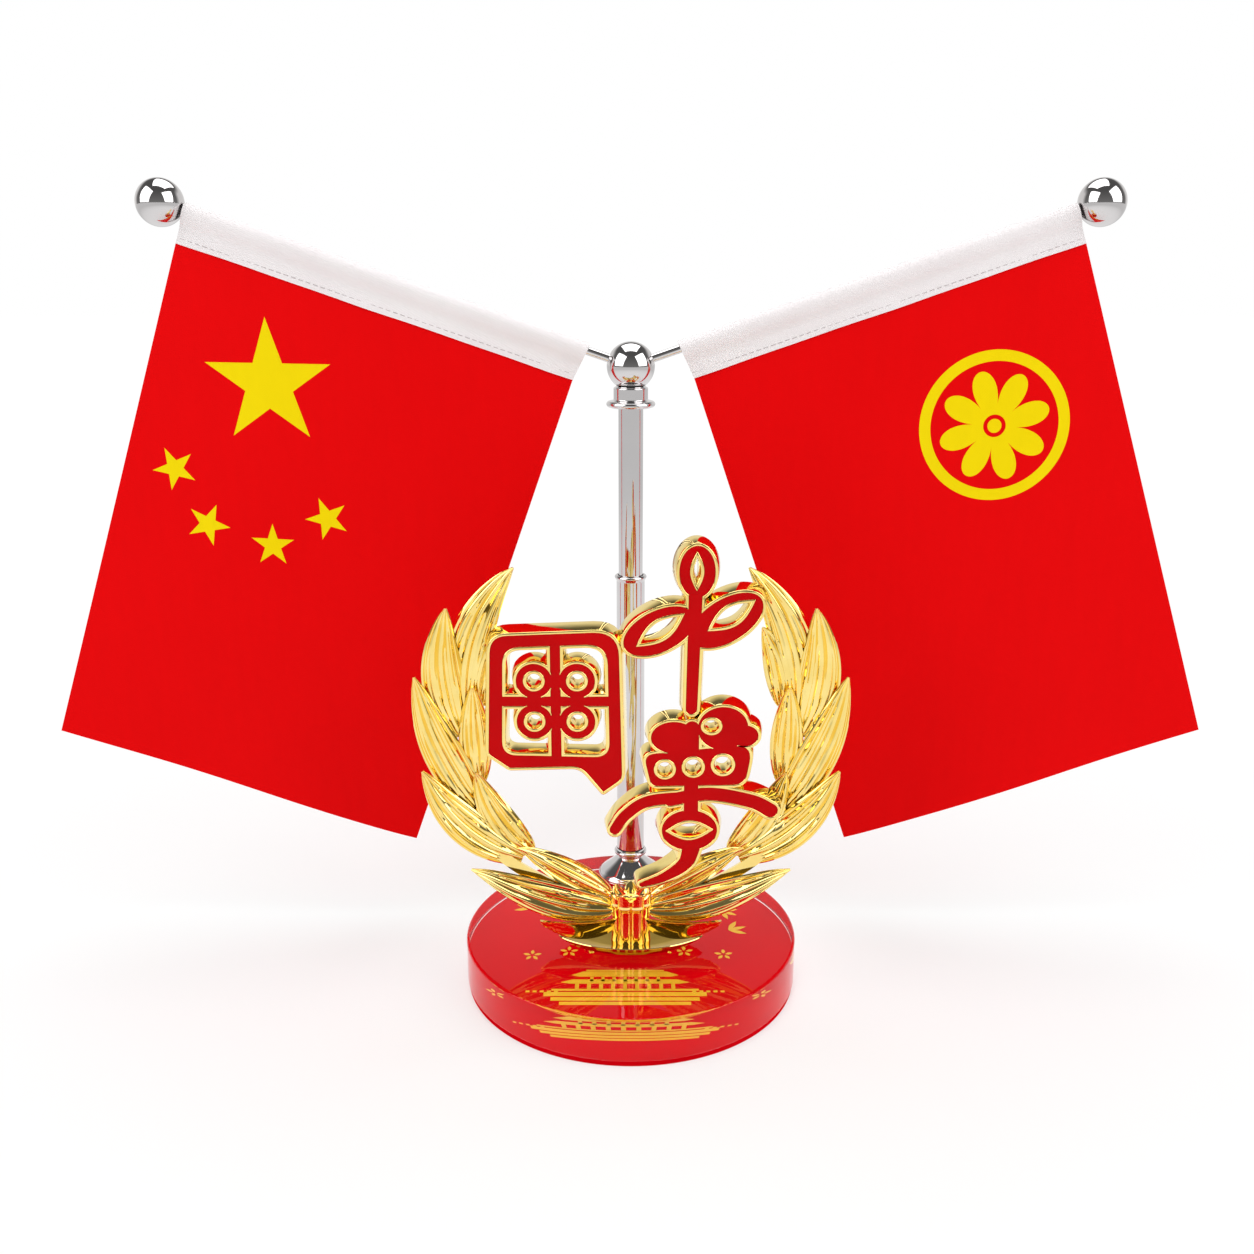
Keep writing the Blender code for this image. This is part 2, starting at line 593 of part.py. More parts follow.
def cloud_design(grow):
    """A cloud of lobes over three round windows, an arm to each side, a knot and a long tail."""
    wide = 2 * grow
    shapes = [oval(30.2, 100.8, 9.2 + grow, 8.4 + grow), oval(14.0, 97.6, 8.4 + grow, 6.4 + grow),
              oval(37.4, 98.2, 5.4 + grow, 4.6 + grow, count=12),
              rounded([(6.0, 79.4, 4), (38.6, 80.0, 6), (41.4, 96.4, 6), (3.0, 92.4, 4.2)], grow),
              ribbon([(13.0, 75.4), (26.0, 77.6), (40.0, 75.0), (46.6, 71.6)], 6.2 + wide, 6.8 + wide, 2),
              ribbon([(20.0, 76.4), (6.0, 75.0), (-1.6, 70.0), (-5.4, 64.6)], 6.0 + wide, 5.4 + wide, 2),
              oval(19.6, 64.4, 10.2 + grow, 8.2 + grow),
              ribbon([(20.0, 101.0), (20.0, 66.0)], 6.6 + wide, 6.6 + wide, 1),
              ribbon([(20.6, 60.0), (18.4, 52.4), (11.6, 47.2), (3.6, 44.2)], 8.4 + wide, 3.4 + wide)]
    holes = [oval(11.2, 86.4, 2.7 - grow, 2.7 - grow, count=10),
             oval(20.6, 87.2, 2.9 - grow, 2.9 - grow, count=10),
             oval(30.4, 88.0, 3.1 - grow, 3.1 - grow, count=10),
             almond((14.6, 64.2), (24.6, 64.6), 3.4, 1 - grow),
             oval(26.4, 101.6, 2.6 - grow, 2.2 - grow, count=10)]
    return union_less(shapes, holes)


def make_ornament(gold, enamel):
    openwork("lattice", lattice_design, gold, enamel)
    openwork("bud", bud_design, gold, enamel)
    openwork("cloud", cloud_design, gold, enamel)


def main():
    clear_scene()
    chrome = material("chrome", (0.80, 0.80, 0.82), 0.08, 1.0)
    steel = material("zinc_steel", (0.62, 0.62, 0.64), 0.35, 1.0)
    gold = material("gold_plate", (0.95, 0.70, 0.24), 0.12, 1.0)
    acrylic = material("clear_acrylic", (0.95, 0.95, 0.97), 0.03, 0.0, 0.35)
    printed = material("printed_film", (0.75, 0.02, 0.03), 0.45)
    enamel = material("red_enamel", (0.70, 0.01, 0.01), 0.15)
    tape = material("white_tape", (0.90, 0.88, 0.87), 0.85)
    cloth = material("red_cloth", (0.78, 0.01, 0.01), 0.75)
    foam = material("dark_foam", (0.06, 0.06, 0.06), 0.90)
    plastic = material("black_plastic", (0.05, 0.05, 0.05), 0.50)

    counterbore_top = make_base(acrylic, printed, foam)
    make_pole(counterbore_top, chrome, steel, plastic)
    make_head(chrome)
    make_flags(tape, cloth)
    make_wreath(gold)
    make_ornament(gold, enamel)


main()
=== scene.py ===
import json
import math

import bmesh
import bpy
from mathutils import Matrix, Vector


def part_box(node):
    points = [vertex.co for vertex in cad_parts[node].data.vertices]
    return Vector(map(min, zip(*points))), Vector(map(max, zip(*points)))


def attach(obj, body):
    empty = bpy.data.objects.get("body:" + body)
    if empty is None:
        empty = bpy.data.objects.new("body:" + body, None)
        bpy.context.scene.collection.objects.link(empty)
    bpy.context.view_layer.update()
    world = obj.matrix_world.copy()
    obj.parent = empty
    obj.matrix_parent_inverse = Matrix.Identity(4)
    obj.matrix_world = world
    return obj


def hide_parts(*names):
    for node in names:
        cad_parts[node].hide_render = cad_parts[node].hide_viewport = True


# Desk flag stand. Pieces are shaped in millimetres and settled in metres at the end.

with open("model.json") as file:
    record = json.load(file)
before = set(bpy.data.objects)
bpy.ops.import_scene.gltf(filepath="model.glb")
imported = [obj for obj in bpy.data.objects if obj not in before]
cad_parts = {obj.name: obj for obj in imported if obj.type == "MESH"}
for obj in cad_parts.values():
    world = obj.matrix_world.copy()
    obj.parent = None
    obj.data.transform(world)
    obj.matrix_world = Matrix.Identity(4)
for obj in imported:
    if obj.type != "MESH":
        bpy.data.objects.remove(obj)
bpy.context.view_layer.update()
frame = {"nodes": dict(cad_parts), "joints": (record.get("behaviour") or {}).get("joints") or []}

MM = 0.001


# ---- workshop habits: choosing, shaping and finishing a piece ----

def deselect():
    if bpy.context.object and bpy.context.object.mode != 'OBJECT':
        bpy.ops.object.mode_set(mode='OBJECT')
    bpy.ops.object.select_all(action='DESELECT')


def named(name):
    piece = bpy.context.object
    piece.name = name
    piece.data.name = name
    return piece


def only(*chosen):
    deselect()
    for piece in chosen:
        piece.select_set(True)
    bpy.context.view_layer.objects.active = chosen[0]


def everything(_):
    return True


def pick(piece, test=everything, kind='FACE'):
    """Enter edit mode with the faces, edges or corners that pass the test selected."""
    only(piece)
    bpy.ops.object.mode_set(mode='EDIT')
    bpy.ops.mesh.select_mode(type=kind)
    bpy.ops.mesh.select_all(action='DESELECT')
    mesh = bmesh.from_edit_mesh(piece.data)
    for item in {'FACE': mesh.faces, 'EDGE': mesh.edges, 'VERT': mesh.verts}[kind]:
        if test(item):
            item.select_set(True)
    mesh.select_flush_mode()
    bmesh.update_edit_mesh(piece.data)


def leave():
    bpy.ops.object.mode_set(mode='OBJECT')


def clean(piece, reach=1e-4):
    """Merge corners that meet, drop loose edges and turn every face outwards."""
    pick(piece)
    bpy.ops.mesh.select_all(action='SELECT')
    bpy.ops.mesh.remove_doubles(threshold=reach)
    bpy.ops.mesh.delete_loose(use_verts=True, use_edges=True, use_faces=False)
    bpy.ops.mesh.select_all(action='SELECT')
    bpy.ops.mesh.normals_make_consistent(inside=False)
    leave()
    return piece


def modify(piece, kind, **settings):
    only(piece)
    step = piece.modifiers.new(kind.lower(), kind)
    for key, value in settings.items():
        setattr(step, key, value)
    bpy.ops.object.modifier_apply(modifier=step.name)
    return piece


def reshape(piece, rule):
    """Move every corner of a piece by a rule on its place."""
    for corner in piece.data.vertices:
        corner.co = rule(corner.co.copy())
    piece.data.update()
    return piece


def merge(name, parts):
    only(*parts)
    bpy.ops.object.join()
    return named(name)


def cut(piece, *tools, operation='DIFFERENCE'):
    """Cut the tools out of a piece, or join them to it, and clear them away."""
    for tool in tools:
        modify(piece, 'BOOLEAN', operation=operation, object=tool, solver='MANIFOLD')
        discard(tool)
    return piece


def unite(piece, *others):
    return cut(piece, *others, operation='UNION')


def move(piece, x, y, z):
    piece.data.transform(Matrix.Translation((x, y, z)))


def discard(*pieces):
    for piece in pieces:
        bpy.data.objects.remove(piece)


def twin(piece, name, turn=None):
    """A copy with a mesh of its own, moved by a matrix if one is given."""
    copy = piece.copy()
    copy.data = piece.data.copy()
    bpy.context.collection.objects.link(copy)
    copy.name = name
    copy.data.name = name
    if turn is not None:
        copy.data.transform(turn)
    return copy


# faces that meet at less than this many degrees are shaded as one surface
PLAIN, TURNED, OPENWORK, CAST, SEWN = 35, 30, 38, 42, 50


def settle(piece, finish, body, replaces=(), place=None, angle=PLAIN):
    """Bring a finished piece from millimetres to its place on the stand."""
    matrix = Matrix.Scale(MM, 4)
    if place is not None:
        matrix = place @ matrix
    piece.data.transform(matrix)
    piece.data.materials.clear()
    piece.data.materials.append(finish.material)
    only(piece)
    bpy.ops.object.shade_smooth_by_angle(angle=math.radians(angle))
    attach(piece, body)
    if replaces:
        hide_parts(*replaces)
    return piece


# ---- outlines ----

def arc(cx, cy, radius, start, stop, count):
    points = []
    for i in range(count + 1):
        a = math.radians(start + (stop - start) * i / count)
        points.append((cx + radius * math.cos(a), cy + radius * math.sin(a)))
    return points


def oval(cx, cz, rx, rz, grow=0.0, tilt=0.0, count=48):
    turn = math.radians(tilt)
    points = []
    for i in range(count):
        a = math.tau * i / count
        u, v = (rx + grow) * math.cos(a), (rz + grow) * math.sin(a)
        points.append((cx + u * math.cos(turn) - v * math.sin(turn),
                       cz + u * math.sin(turn) + v * math.cos(turn)))
    return points


def almond(start, stop, width, grow=0.0):
    """A pointed leaf outline between two points, grown outwards all round."""
    count = 14
    a, b = Vector(start), Vector(stop)
    along = (b - a).normalized()
    a, b = a - along * grow * 1.6, b + along * grow * 1.6
    across = Vector((-along.y, along.x))
    half = width / 2 + grow
    side = [(i / count, math.sin(math.pi * i / count) * half) for i in range(count + 1)]
    points = [a.lerp(b, t) + across * w for t, w in side]
    points += [a.lerp(b, t) - across * w for t, w in reversed(side[1:-1])]
    return [tuple(p) for p in points][::-1]


def rounded(corners, grow=0.0):
    """A polygon whose corners, anticlockwise as (x, z, radius), are moved out and rounded."""
    count = 7
    total = len(corners)
    moved = []
    for i, (x, z, radius) in enumerate(corners):
        here = Vector((x, z))
        into = (here - Vector(corners[i - 1][:2])).normalized()
        out = (Vector(corners[(i + 1) % total][:2]) - here).normalized()
        first, second = Vector((into.y, -into.x)), Vector((out.y, -out.x))
        corner = (first + second).normalized()
        convex = 1 if into.cross(out) > 0 else -1
        moved.append((here + corner * grow / corner.dot(first), max(0.4, radius + convex * grow)))
    points = []
    for i, (here, radius) in enumerate(moved):
        before = (moved[i - 1][0] - here).normalized()
        after = (moved[(i + 1) % total][0] - here).normalized()
        reach = radius / math.tan(before.angle(after) / 2)
        first, last = here + before * reach, here + after * reach
        for k in range(count + 1):
            t = k / count
            points.append(tuple(first.lerp(here, t).lerp(here.lerp(last, t), t)))
    return points


def smooth_line(points, count):
    """Points of a smooth curve through the given ones."""
    ends = [points[0]] + list(points) + [points[-1]]
    line = []
    for i in range(len(points) - 1):
        p0, p1, p2, p3 = (Vector(p) for p in ends[i:i + 4])
        for k in range(count):
            t = k / count
            line.append(0.5 * (2 * p1 + (p2 - p0) * t + (2 * p0 - 5 * p1 + 4 * p2 - p3) * t * t
                               + (3 * p1 - p0 - 3 * p2 + p3) * t * t * t))
    line.append(Vector(points[-1]))
    return line


def ribbon(points, start_width, end_width, grow=0.0, count=8):
    """The outline of a curved stroke with round ends."""
    line = smooth_line(points, count)
    left, right = [], []
    last = len(line) - 1
    for i, p in enumerate(line):
        way = (line[min(i + 1, last)] - line[max(i - 1, 0)]).normalized()
        across = Vector((-way.y, way.x))
        half = (start_width + (end_width - start_width) * i / last) / 2 + grow
        left.append(p + across * half)
        right.append(p - across * half)
    return ([tuple(p) for p in left] + round_end(left[-1], right[-1])
            + [tuple(p) for p in reversed(right)] + round_end(right[0], left[0]))[::-1]


def round_end(a, b):
    """Half a circle from one side of a stroke to the other."""
    count = 10
    centre = (a + b) / 2
    arm = a - centre
    points = []
    for k in range(1, count):
        turn = -math.pi * k / count
        points.append((centre.x + arm.x * math.cos(turn) - arm.y * math.sin(turn),
                       centre.y + arm.x * math.sin(turn) + arm.y * math.cos(turn)))
    return points


# ---- turned and cut-out solids ----

def order_round(corner, count):
    """Which corner of a new circle this is, counted from its first, at +Y."""
    angle = (math.atan2(corner.y, corner.x) - math.pi / 2) % math.tau
    return round(angle / (math.tau / count)) % count


LONG_RUN, HOLD = 0.9, 0.08         # a straight run that is held, and how far from its ends


def held(profile, closed):
    """The profile with a point close to each end of every long straight run, to keep it crisp."""
    points = [Vector(p) for p in profile]
    ends = points[1:] + ([points[0]] if closed else [])
    made = []
    for a, b in zip(points, ends):
        made.append(a)
        way = b - a
        if way.length > LONG_RUN:
            made += [a + way.normalized() * HOLD, b - way.normalized() * HOLD]
    if not closed:
        made.append(points[-1])
    return [tuple(p) for p in made]


def spun(name, profile, steps=72):
    """A closed outline of (radius, height) turned about Z."""
    profile = held(profile, profile[0][0] > 0)
    deselect()
    bpy.ops.mesh.primitive_circle_add(vertices=len(profile), radius=1)
    piece = named(name)
    for corner in piece.data.vertices:
        radius, height = profile[order_round(corner.co, len(profile))]
        corner.co = (radius, 0, height)
    if profile[0][0] == profile[-1][0] == 0:      # the line down the axis isn't turned
        pick(piece, lambda edge: all(v.co.x == 0 for v in edge.verts), 'EDGE')
        bpy.ops.mesh.delete(type='EDGE')
        leave()
    pick(piece, kind='EDGE')
    bpy.ops.mesh.spin(steps=steps, angle=math.tau, center=(0, 0, 0), axis=(0, 0, 1))
    leave()
    return clean(piece)


def drafted(name, front, near, back, far):
    """A plate from a front outline of (x, z) at y = near to a back one at y = far."""
    deselect()
    count = len(front)
    bpy.ops.mesh.primitive_circle_add(vertices=count, radius=1, fill_type='NGON')
    piece = named(name)
    pick(piece)
    bpy.ops.mesh.extrude_region_move(TRANSFORM_OT_translate={"value": (0, 0, 1)})
    leave()
    for corner in piece.data.vertices:
        outline, level = (back, far) if corner.co.z > 0.5 else (front, near)
        x, z = outline[order_round(corner.co, count)]
        corner.co = (x, level, z)
    return clean(piece)


def lying(name, outline, low, high):
    """A flat plate of an (x, y) outline between two heights."""
    plate = drafted(name, outline, low, outline, high)
    reshape(plate, lambda c: Vector((c.x, c.z, c.y)))
    return clean(plate)


def grid(name, columns, rows, size=2):
    deselect()
    bpy.ops.mesh.primitive_grid_add(x_subdivisions=columns, y_subdivisions=rows, size=size)
    return named(name)


def upright(radius, low, high, sides=48):
    """A round bar on end, for cutting a bore or adding a peg."""
    deselect()
    bpy.ops.mesh.primitive_cylinder_add(vertices=sides, radius=radius, depth=high - low,
                                        location=(0, 0, (low + high) / 2))
    bpy.ops.object.transform_apply(location=True, rotation=True, scale=True)
    return named("tool")


# ---- shader recipes ----

class Amount:
    """A number on a shader socket. Arithmetic on it adds Math nodes."""

    def __init__(self, recipe, socket):
        self.recipe = recipe
        self.socket = socket

    def __add__(self, other):
        return self.recipe.maths('ADD', self, other)

    __radd__ = __add__

    def __sub__(self, other):
        return self.recipe.maths('SUBTRACT', self, other)

    def __rsub__(self, other):
        return self.recipe.maths('SUBTRACT', other, self)

    def __mul__(self, other):
        return self.recipe.maths('MULTIPLY', self, other)

    __rmul__ = __mul__

    def __pow__(self, other):
        return self.recipe.maths('POWER', self, other)

    def __abs__(self):
        return self.recipe.maths('ABSOLUTE', self)


class Recipe:
    """A node tree and the nodes that are added to it."""

    def __init__(self, tree):
        self.tree = tree

    def feed(self, socket, value):
        if isinstance(value, Amount):
            self.tree.links.new(value.socket, socket)
        elif isinstance(value, bpy.types.NodeSocket):
            self.tree.links.new(value, socket)
        elif isinstance(value, tuple) and len(value) == 3 and socket.type == 'RGBA':
            socket.default_value = (*value, 1.0)
        else:
            socket.default_value = value

    def add(self, kind, settings=None, sockets=None):
        node = self.tree.nodes.new(kind)
        for key, value in (settings or {}).items():
            setattr(node, key, value)
        for key, value in (sockets or {}).items():
            self.feed(node.inputs[key], value)
        return node

    def maths(self, operation, *values):
        node = self.add("ShaderNodeMath", {"operation": operation}, dict(enumerate(values)))
        return Amount(self, node.outputs[0])

    def ramp(self, value, low, high, bottom=0.0, top=1.0, shape='LINEAR'):
        """bottom below low, top above high, a ramp between."""
        node = self.add("ShaderNodeMapRange", {"interpolation_type": shape}, {
            "Value": value, "From Min": low, "From Max": high, "To Min": bottom, "To Max": top})
        return Amount(self, node.outputs["Result"])

    def step(self, value, low, high):
        """0 below low, 1 above high, smooth between."""
        return self.ramp(value, low, high, shape='SMOOTHSTEP')

    def least(self, *values):
        result = values[0]
        for value in values[1:]:
            result = self.maths('MINIMUM', result, value)
        return result

    def most(self, *values):
        result = values[0]
        for value in values[1:]:
            result = self.maths('MAXIMUM', result, value)
        return result

    def where(self, source="Object", scale=(1, 1, 1)):
        spot = self.add("ShaderNodeTexCoord").outputs[source]
        return self.add("ShaderNodeMapping", None, {"Vector": spot, "Scale": scale}).outputs[0]

    def split(self, vector):
        node = self.add("ShaderNodeSeparateXYZ", None, {"Vector": vector})
        return [Amount(self, socket) for socket in node.outputs]

    def noise(self, size, detail=2.0, where=None):
        """Cloudy noise whose lumps are about size metres across."""
        node = self.add("ShaderNodeTexNoise", None, {
            "Vector": where or self.where(), "Scale": 1 / size, "Detail": detail})
        return Amount(self, node.outputs[0])

    def mix(self, factor, first, second):
        node = self.add("ShaderNodeMix", {"data_type": 'RGBA'}, {0: factor, 6: first, 7: second})
        return node.outputs[2]

    def bump(self, height, distance, strength, under=None):
        sockets = {"Height": height, "Distance": distance, "Strength": strength}
        if under is not None:
            sockets["Normal"] = under
        return self.add("ShaderNodeBump", None, sockets).outputs[0]


class Finish(Recipe):
    """One node material, made from constants on its shader and patterns that vary over it."""

    def __init__(self, name, constants):
        self.material = bpy.data.materials.new(name)
        self.material.use_nodes = True
        super().__init__(self.material.node_tree)
        self.shader = self.tree.nodes["Principled BSDF"]
        for key, value in constants.items():
            self.feed(self.shader.inputs[key], value)

    def give(self, **patterns):
        for key, value in patterns.items():
            self.feed(self.shader.inputs[key.replace("_", " ")], value)
        return self


# ---- finishes ----

def chrome_plate():
    finish = Finish("chrome_plate", {"Metallic": 1.0, "Specular Tint": (1.0, 1.0, 1.0)})
    haze = finish.noise(0.009, 3.0)
    wipes = finish.noise(0.004, 2.0, finish.where(scale=(1, 1, 0.12)))
    return finish.give(
        Base_Color=finish.mix(haze, (0.64, 0.622, 0.622), (0.70, 0.682, 0.682)),
        Roughness=0.035 + haze * 0.02 + wipes * 0.02,
        Normal=finish.bump(wipes, 0.000004, 0.25))


def gold_plate():
    """Bright plating over a casting, with a slow wave and a fine orange peel."""
    finish = Finish("gold_plate", {"Metallic": 1.0})
    cloud = finish.noise(0.011, 3.0)
    orange_peel = finish.noise(0.0024, 2.0)
    slow = finish.noise(0.006, 1.0)
    return finish.give(
        Base_Color=finish.mix(finish.step(cloud, 0.35, 0.7),
                              (0.94, 0.72, 0.23), (1.0, 0.80, 0.30)),
        Roughness=0.035 + cloud * 0.05,
        Normal=finish.bump(slow, 0.00016, 0.35, finish.bump(orange_peel, 0.00004, 0.3)))


def dish_gold():
    """The dish's plating: bright on its rim, and darkened to brown below it, on its floor and outer
    wall, as painted shade.
    """
    finish = Finish("dish_gold_plate", {"Metallic": 1.0})
    cloud = finish.noise(0.008, 3.0)
    height = finish.split(finish.where())[2]
    # painted shade: everything below the top of the rim, the floor and the outer wall, gets a dark
    # brown plating colour
    rim = finish.step(height, 0.0203, 0.0208)
    painted_shade_below_rim = finish.mix(cloud, (0.44, 0.26, 0.03), (0.60, 0.40, 0.07))
    return finish.give(
        Base_Color=finish.mix(rim, painted_shade_below_rim, (0.98, 0.77, 0.27)),
        Roughness=0.05 + cloud * 0.06,
        Normal=finish.bump(cloud, 0.00012, 0.3))


def red_enamel():
    finish = Finish("red_enamel", {"Specular IOR Level": 0.06})
    pool = finish.noise(0.005, 1.0)
    cloud = finish.noise(0.014, 2.0)
    return finish.give(
        Base_Color=finish.mix(cloud, (0.48, 0.0004, 0.0012), (0.66, 0.0008, 0.0025)),
        Roughness=0.10 + pool * 0.08,
        Normal=finish.bump(pool, 0.00016, 0.4))


def clear_acrylic():
    finish = Finish("polished_acrylic", {
        "Transmission Weight": 1.0, "IOR": 1.49, "Specular IOR Level": 0.2,
        "Specular Tint": (1.0, 0.45, 0.45), "Base Color": (1.0, 0.92, 0.92)})
    rub = finish.noise(0.02, 3.0)
    return finish.give(Roughness=rub * 0.02, Normal=finish.bump(rub, 0.00002, 0.1))


def red_film():
    """Printed film, seen through the disc."""
    finish = Finish("red_film", {"Specular IOR Level": 0.0})
    wash = finish.noise(0.035, 2.0)
    grain = finish.noise(0.0006, 1.0)
    return finish.give(
        Base_Color=finish.mix(wash, (0.58, 0.0004, 0.003), (0.66, 0.0012, 0.006)),
        Roughness=0.35 + grain * 0.1)


def gold_foil():
    finish = Finish("gold_foil_print", {"Specular IOR Level": 0.5, "Metallic": 0.25})
    wash = finish.noise(0.012, 2.0)
    grain = finish.noise(0.0007, 2.0)
    return finish.give(
        Base_Color=finish.mix(wash, (0.80, 0.50, 0.012), (0.90, 0.62, 0.03)),
        Roughness=0.3 + grain * 0.15)


def foam():
    finish = Finish("dark_foam", {"Specular IOR Level": 0.2})
    cells = finish.add("ShaderNodeTexVoronoi", None, {
        "Vector": finish.where(), "Scale": 1400.0}).outputs["Distance"]
    pit = Amount(finish, cells)
    return finish.give(
        Base_Color=finish.mix(finish.noise(0.01), (0.035, 0.034, 0.036), (0.06, 0.058, 0.06)),
        Roughness=0.85 + pit * 0.1, Normal=finish.bump(pit, 0.00015, 0.7))


def zinc():
    finish = Finish("zinc_steel", {"Metallic": 1.0})
    spangle = finish.noise(0.0018, 3.0)
    return finish.give(
        Base_Color=finish.mix(spangle, (0.55, 0.55, 0.56), (0.70, 0.69, 0.66)),
        Roughness=0.28 + spangle * 0.2, Normal=finish.bump(spangle, 0.00002, 0.4))


def moulded_plastic():
    finish = Finish("black_plastic", {})
    grain = finish.noise(0.0006, 2.0)
    return finish.give(
        Base_Color=finish.mix(grain, (0.02, 0.02, 0.021), (0.035, 0.035, 0.037)),
        Roughness=0.42 + grain * 0.15, Normal=finish.bump(grain, 0.00003, 0.4))


def weave(finish, u, v, pitch):
    """Height of a plain weave: threads along u and v that pass over and under in turn."""
    along = finish.maths('SINE', u * (math.pi / pitch))
    across = finish.maths('SINE', v * (math.pi / pitch))
    return along * across


def cotton_tape(width, depth):
    """Twill tape: fine slanting ribs, a pink-grey white varied in slow blotches, on the piece's own
    map in millimetres.
    """
    finish = Finish("white_tape", {"Specular IOR Level": 0.2, "Sheen Weight": 0.25})
    u, v, _ = finish.split(finish.where("UV"))
    u, v = u * width, v * depth
    rib = finish.maths('SINE', (u + v) * (math.tau / 0.8))
    # slow random blotches of lighter and darker pink-grey
    blotches = finish.noise(0.02, 3.0)
    crumple = finish.noise(0.006, 3.0, finish.where(scale=(1, 1, 0.5)))
    return finish.give(
        Base_Color=finish.mix(blotches, (0.86, 0.80, 0.81), (0.93, 0.90, 0.90)),
        Roughness=0.8 + rib * 0.05,
        Normal=finish.bump(crumple, 0.0006, 0.35, finish.bump(rib, 0.00006, 0.5)))


def sewing_thread():
    finish = Finish("white_thread", {"Specular IOR Level": 0.2})
    twist = finish.noise(0.0004)
    return finish.give(
        Base_Color=finish.mix(finish.noise(0.001), (0.50, 0.44, 0.45), (0.62, 0.57, 0.57)),
        Roughness=0.75 + twist * 0.1)


STAR_NOTCH = 0.381966             # how far out a star's inner corners are, with its tips at 1
PRINT_EDGE = 0.08                 # half the width over which the print fades out


def star(finish, u, v, centre, radius, turn):
    """1 inside a five-pointed star whose first tip points along the turn, in degrees."""
    du, dv = u - centre[0], v - centre[1]
    reach = finish.maths('SQRT', du * du + dv * dv)
    angle = finish.maths('ARCTAN2', dv, du) - math.radians(turn)
    fifth = math.tau / 5
    fold = abs(finish.maths('WRAP', angle, fifth / 2, -fifth / 2))
    # the edge from a tip, at 1, to the inner corner beside it
    notch = STAR_NOTCH * Vector((math.cos(fifth / 2), math.sin(fifth / 2)))
    side = (notch - Vector((1, 0))).normalized()
    edge = radius * side.y
    height = reach * (finish.maths('COSINE', fold) * side.y
                      - finish.maths('SINE', fold) * side.x)
    return 1 - finish.step(height, edge - PRINT_EDGE, edge + PRINT_EDGE)


THREAD_PITCH = 0.32


def flag_cloth(name, width, drop, device):
    """Polyester flag cloth: dyed red, printed yellow by the device, woven on its own map."""
    finish = Finish(name, {"Specular IOR Level": 0.06})
    u, v, _ = finish.split(finish.where("UV"))
    u, v = u * width, v * drop
    printed = device(finish, u, v)
    wash = finish.noise(0.05, 2.0)
    slub = finish.noise(0.004, 2.0, finish.where(scale=(1, 1, 0.15)))
    red = finish.mix(wash, (0.85, 0.0002, 0.0012), (0.91, 0.0006, 0.002))
    yellow = finish.mix(wash, (1.0, 0.74, 0.0), (1.0, 0.80, 0.003))
    thread = weave(finish, u, v, THREAD_PITCH)
    shade = finish.mix(0.05 + slub * 0.05, finish.mix(printed, red, yellow), (0.0, 0.0, 0.0))
    ripple = finish.noise(0.03, 2.0)
    return finish.give(
        Base_Color=shade, Roughness=0.72 + thread * 0.06,
        Normal=finish.bump(ripple, 0.003, 0.12, finish.bump(thread, 0.00005, 0.35)))


UNIT = 8.0                        # the stars' grid
GRID_U, GRID_V = 1.5, -4.5        # where the grid starts


def state_stars(finish, u, v):
    """The state flag's five stars, on a grid of twentieths from its upper hoist corner."""
    big = (GRID_U + 5 * UNIT, GRID_V + 5 * UNIT)
    found = star(finish, u, v, big, 2.85 * UNIT, -108.0)
    for a, b in ((10, 2), (12, 4), (12, 7), (10, 9)):
        spot = (GRID_U + b * UNIT, GRID_V + a * UNIT)
        way = math.degrees(math.atan2(big[1] - spot[1], big[0] - spot[0]))
        found = finish.most(found, star(finish, u, v, spot, UNIT, way))
    return found


def rosette(finish, u, v):
    """A plain eight-petalled rosette in a ring."""
    du, dv = u - 45.0, v - 50.0
    reach = finish.maths('SQRT', du * du + dv * dv)
    angle = finish.maths('ARCTAN2', dv, du)
    petal = abs(finish.maths('COSINE', angle * 4)) ** 0.6
    edge = 7.4 + petal * 12.4
    flower = finish.step(edge - reach, -PRINT_EDGE, PRINT_EDGE)
    eye = finish.step(reach, 3.9, 4.06) + (1 - finish.step(reach, 2.4, 2.56))
    ring = 1 - finish.step(abs(reach - 24.6), 1.9, 2.06)
    return finish.most(finish.least(flower, eye), ring)


CHROME = chrome_plate()
GOLD = gold_plate()
ENAMEL = red_enamel()
ACRYLIC = clear_acrylic()
FILM = red_film()
FOIL = gold_foil()
DISH_GOLD = dish_gold()
THREAD = sewing_thread()


# ---- where things are, in millimetres ----

def box_mm(node):
    low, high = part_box(node)
    return low / MM, high / MM


disc_low, disc_high = box_mm("base_disc")
lower_low, lower_high = box_mm("lower_tube")
upper_low, upper_high = box_mm("upper_tube")
hub_low, hub_high = box_mm("hub_ball")

BASE_RADIUS = disc_high.x
BASE_LOW, BASE_TOP = disc_low.z, disc_high.z
BELL_LOW = box_mm("pole_foot")[0].z
POLE_Y = (lower_low.y + lower_high.y) / 2
HUB = (hub_low + hub_high) / 2
HUB_RADIUS = (hub_high.x - hub_low.x) / 2
swing = next(j for j in frame["joints"] if j["name"] == "flag_right_swing")
RISE = math.atan2(swing["axis"][2], swing["axis"][0])
POLE = Matrix.Translation((0, POLE_Y * MM, 0))
MIRROR = Matrix.Scale(-1, 4, (1, 0, 0))
SIDES = (("left", -1), ("right", 1))
WREATH_Y = -9.5
DISH_Y = -12.0
PEG_X = 14.0                      # the dish's pegs, left and right of its middle


def rod_place(side):
    """The frame of a rod: X out from the hub, -Z down the flag."""
    turn = Matrix.Rotation(math.pi if side < 0 else 0.0, 4, 'Z')
    return Matrix.Translation(HUB * MM) @ turn @ Matrix.Rotation(-RISE, 4, 'Y')


# ---- the base ----

ROUND = 160                       # faces round the disc and the film


def pegs(radius, low, high):
    """The two pegs under the dish, or the tools for their holes."""
    made = []
    for _, sign in SIDES:
        peg = upright(radius, low, high, 32)
        move(peg, sign * PEG_X, DISH_Y, 0)
        made.append(peg)
    return made


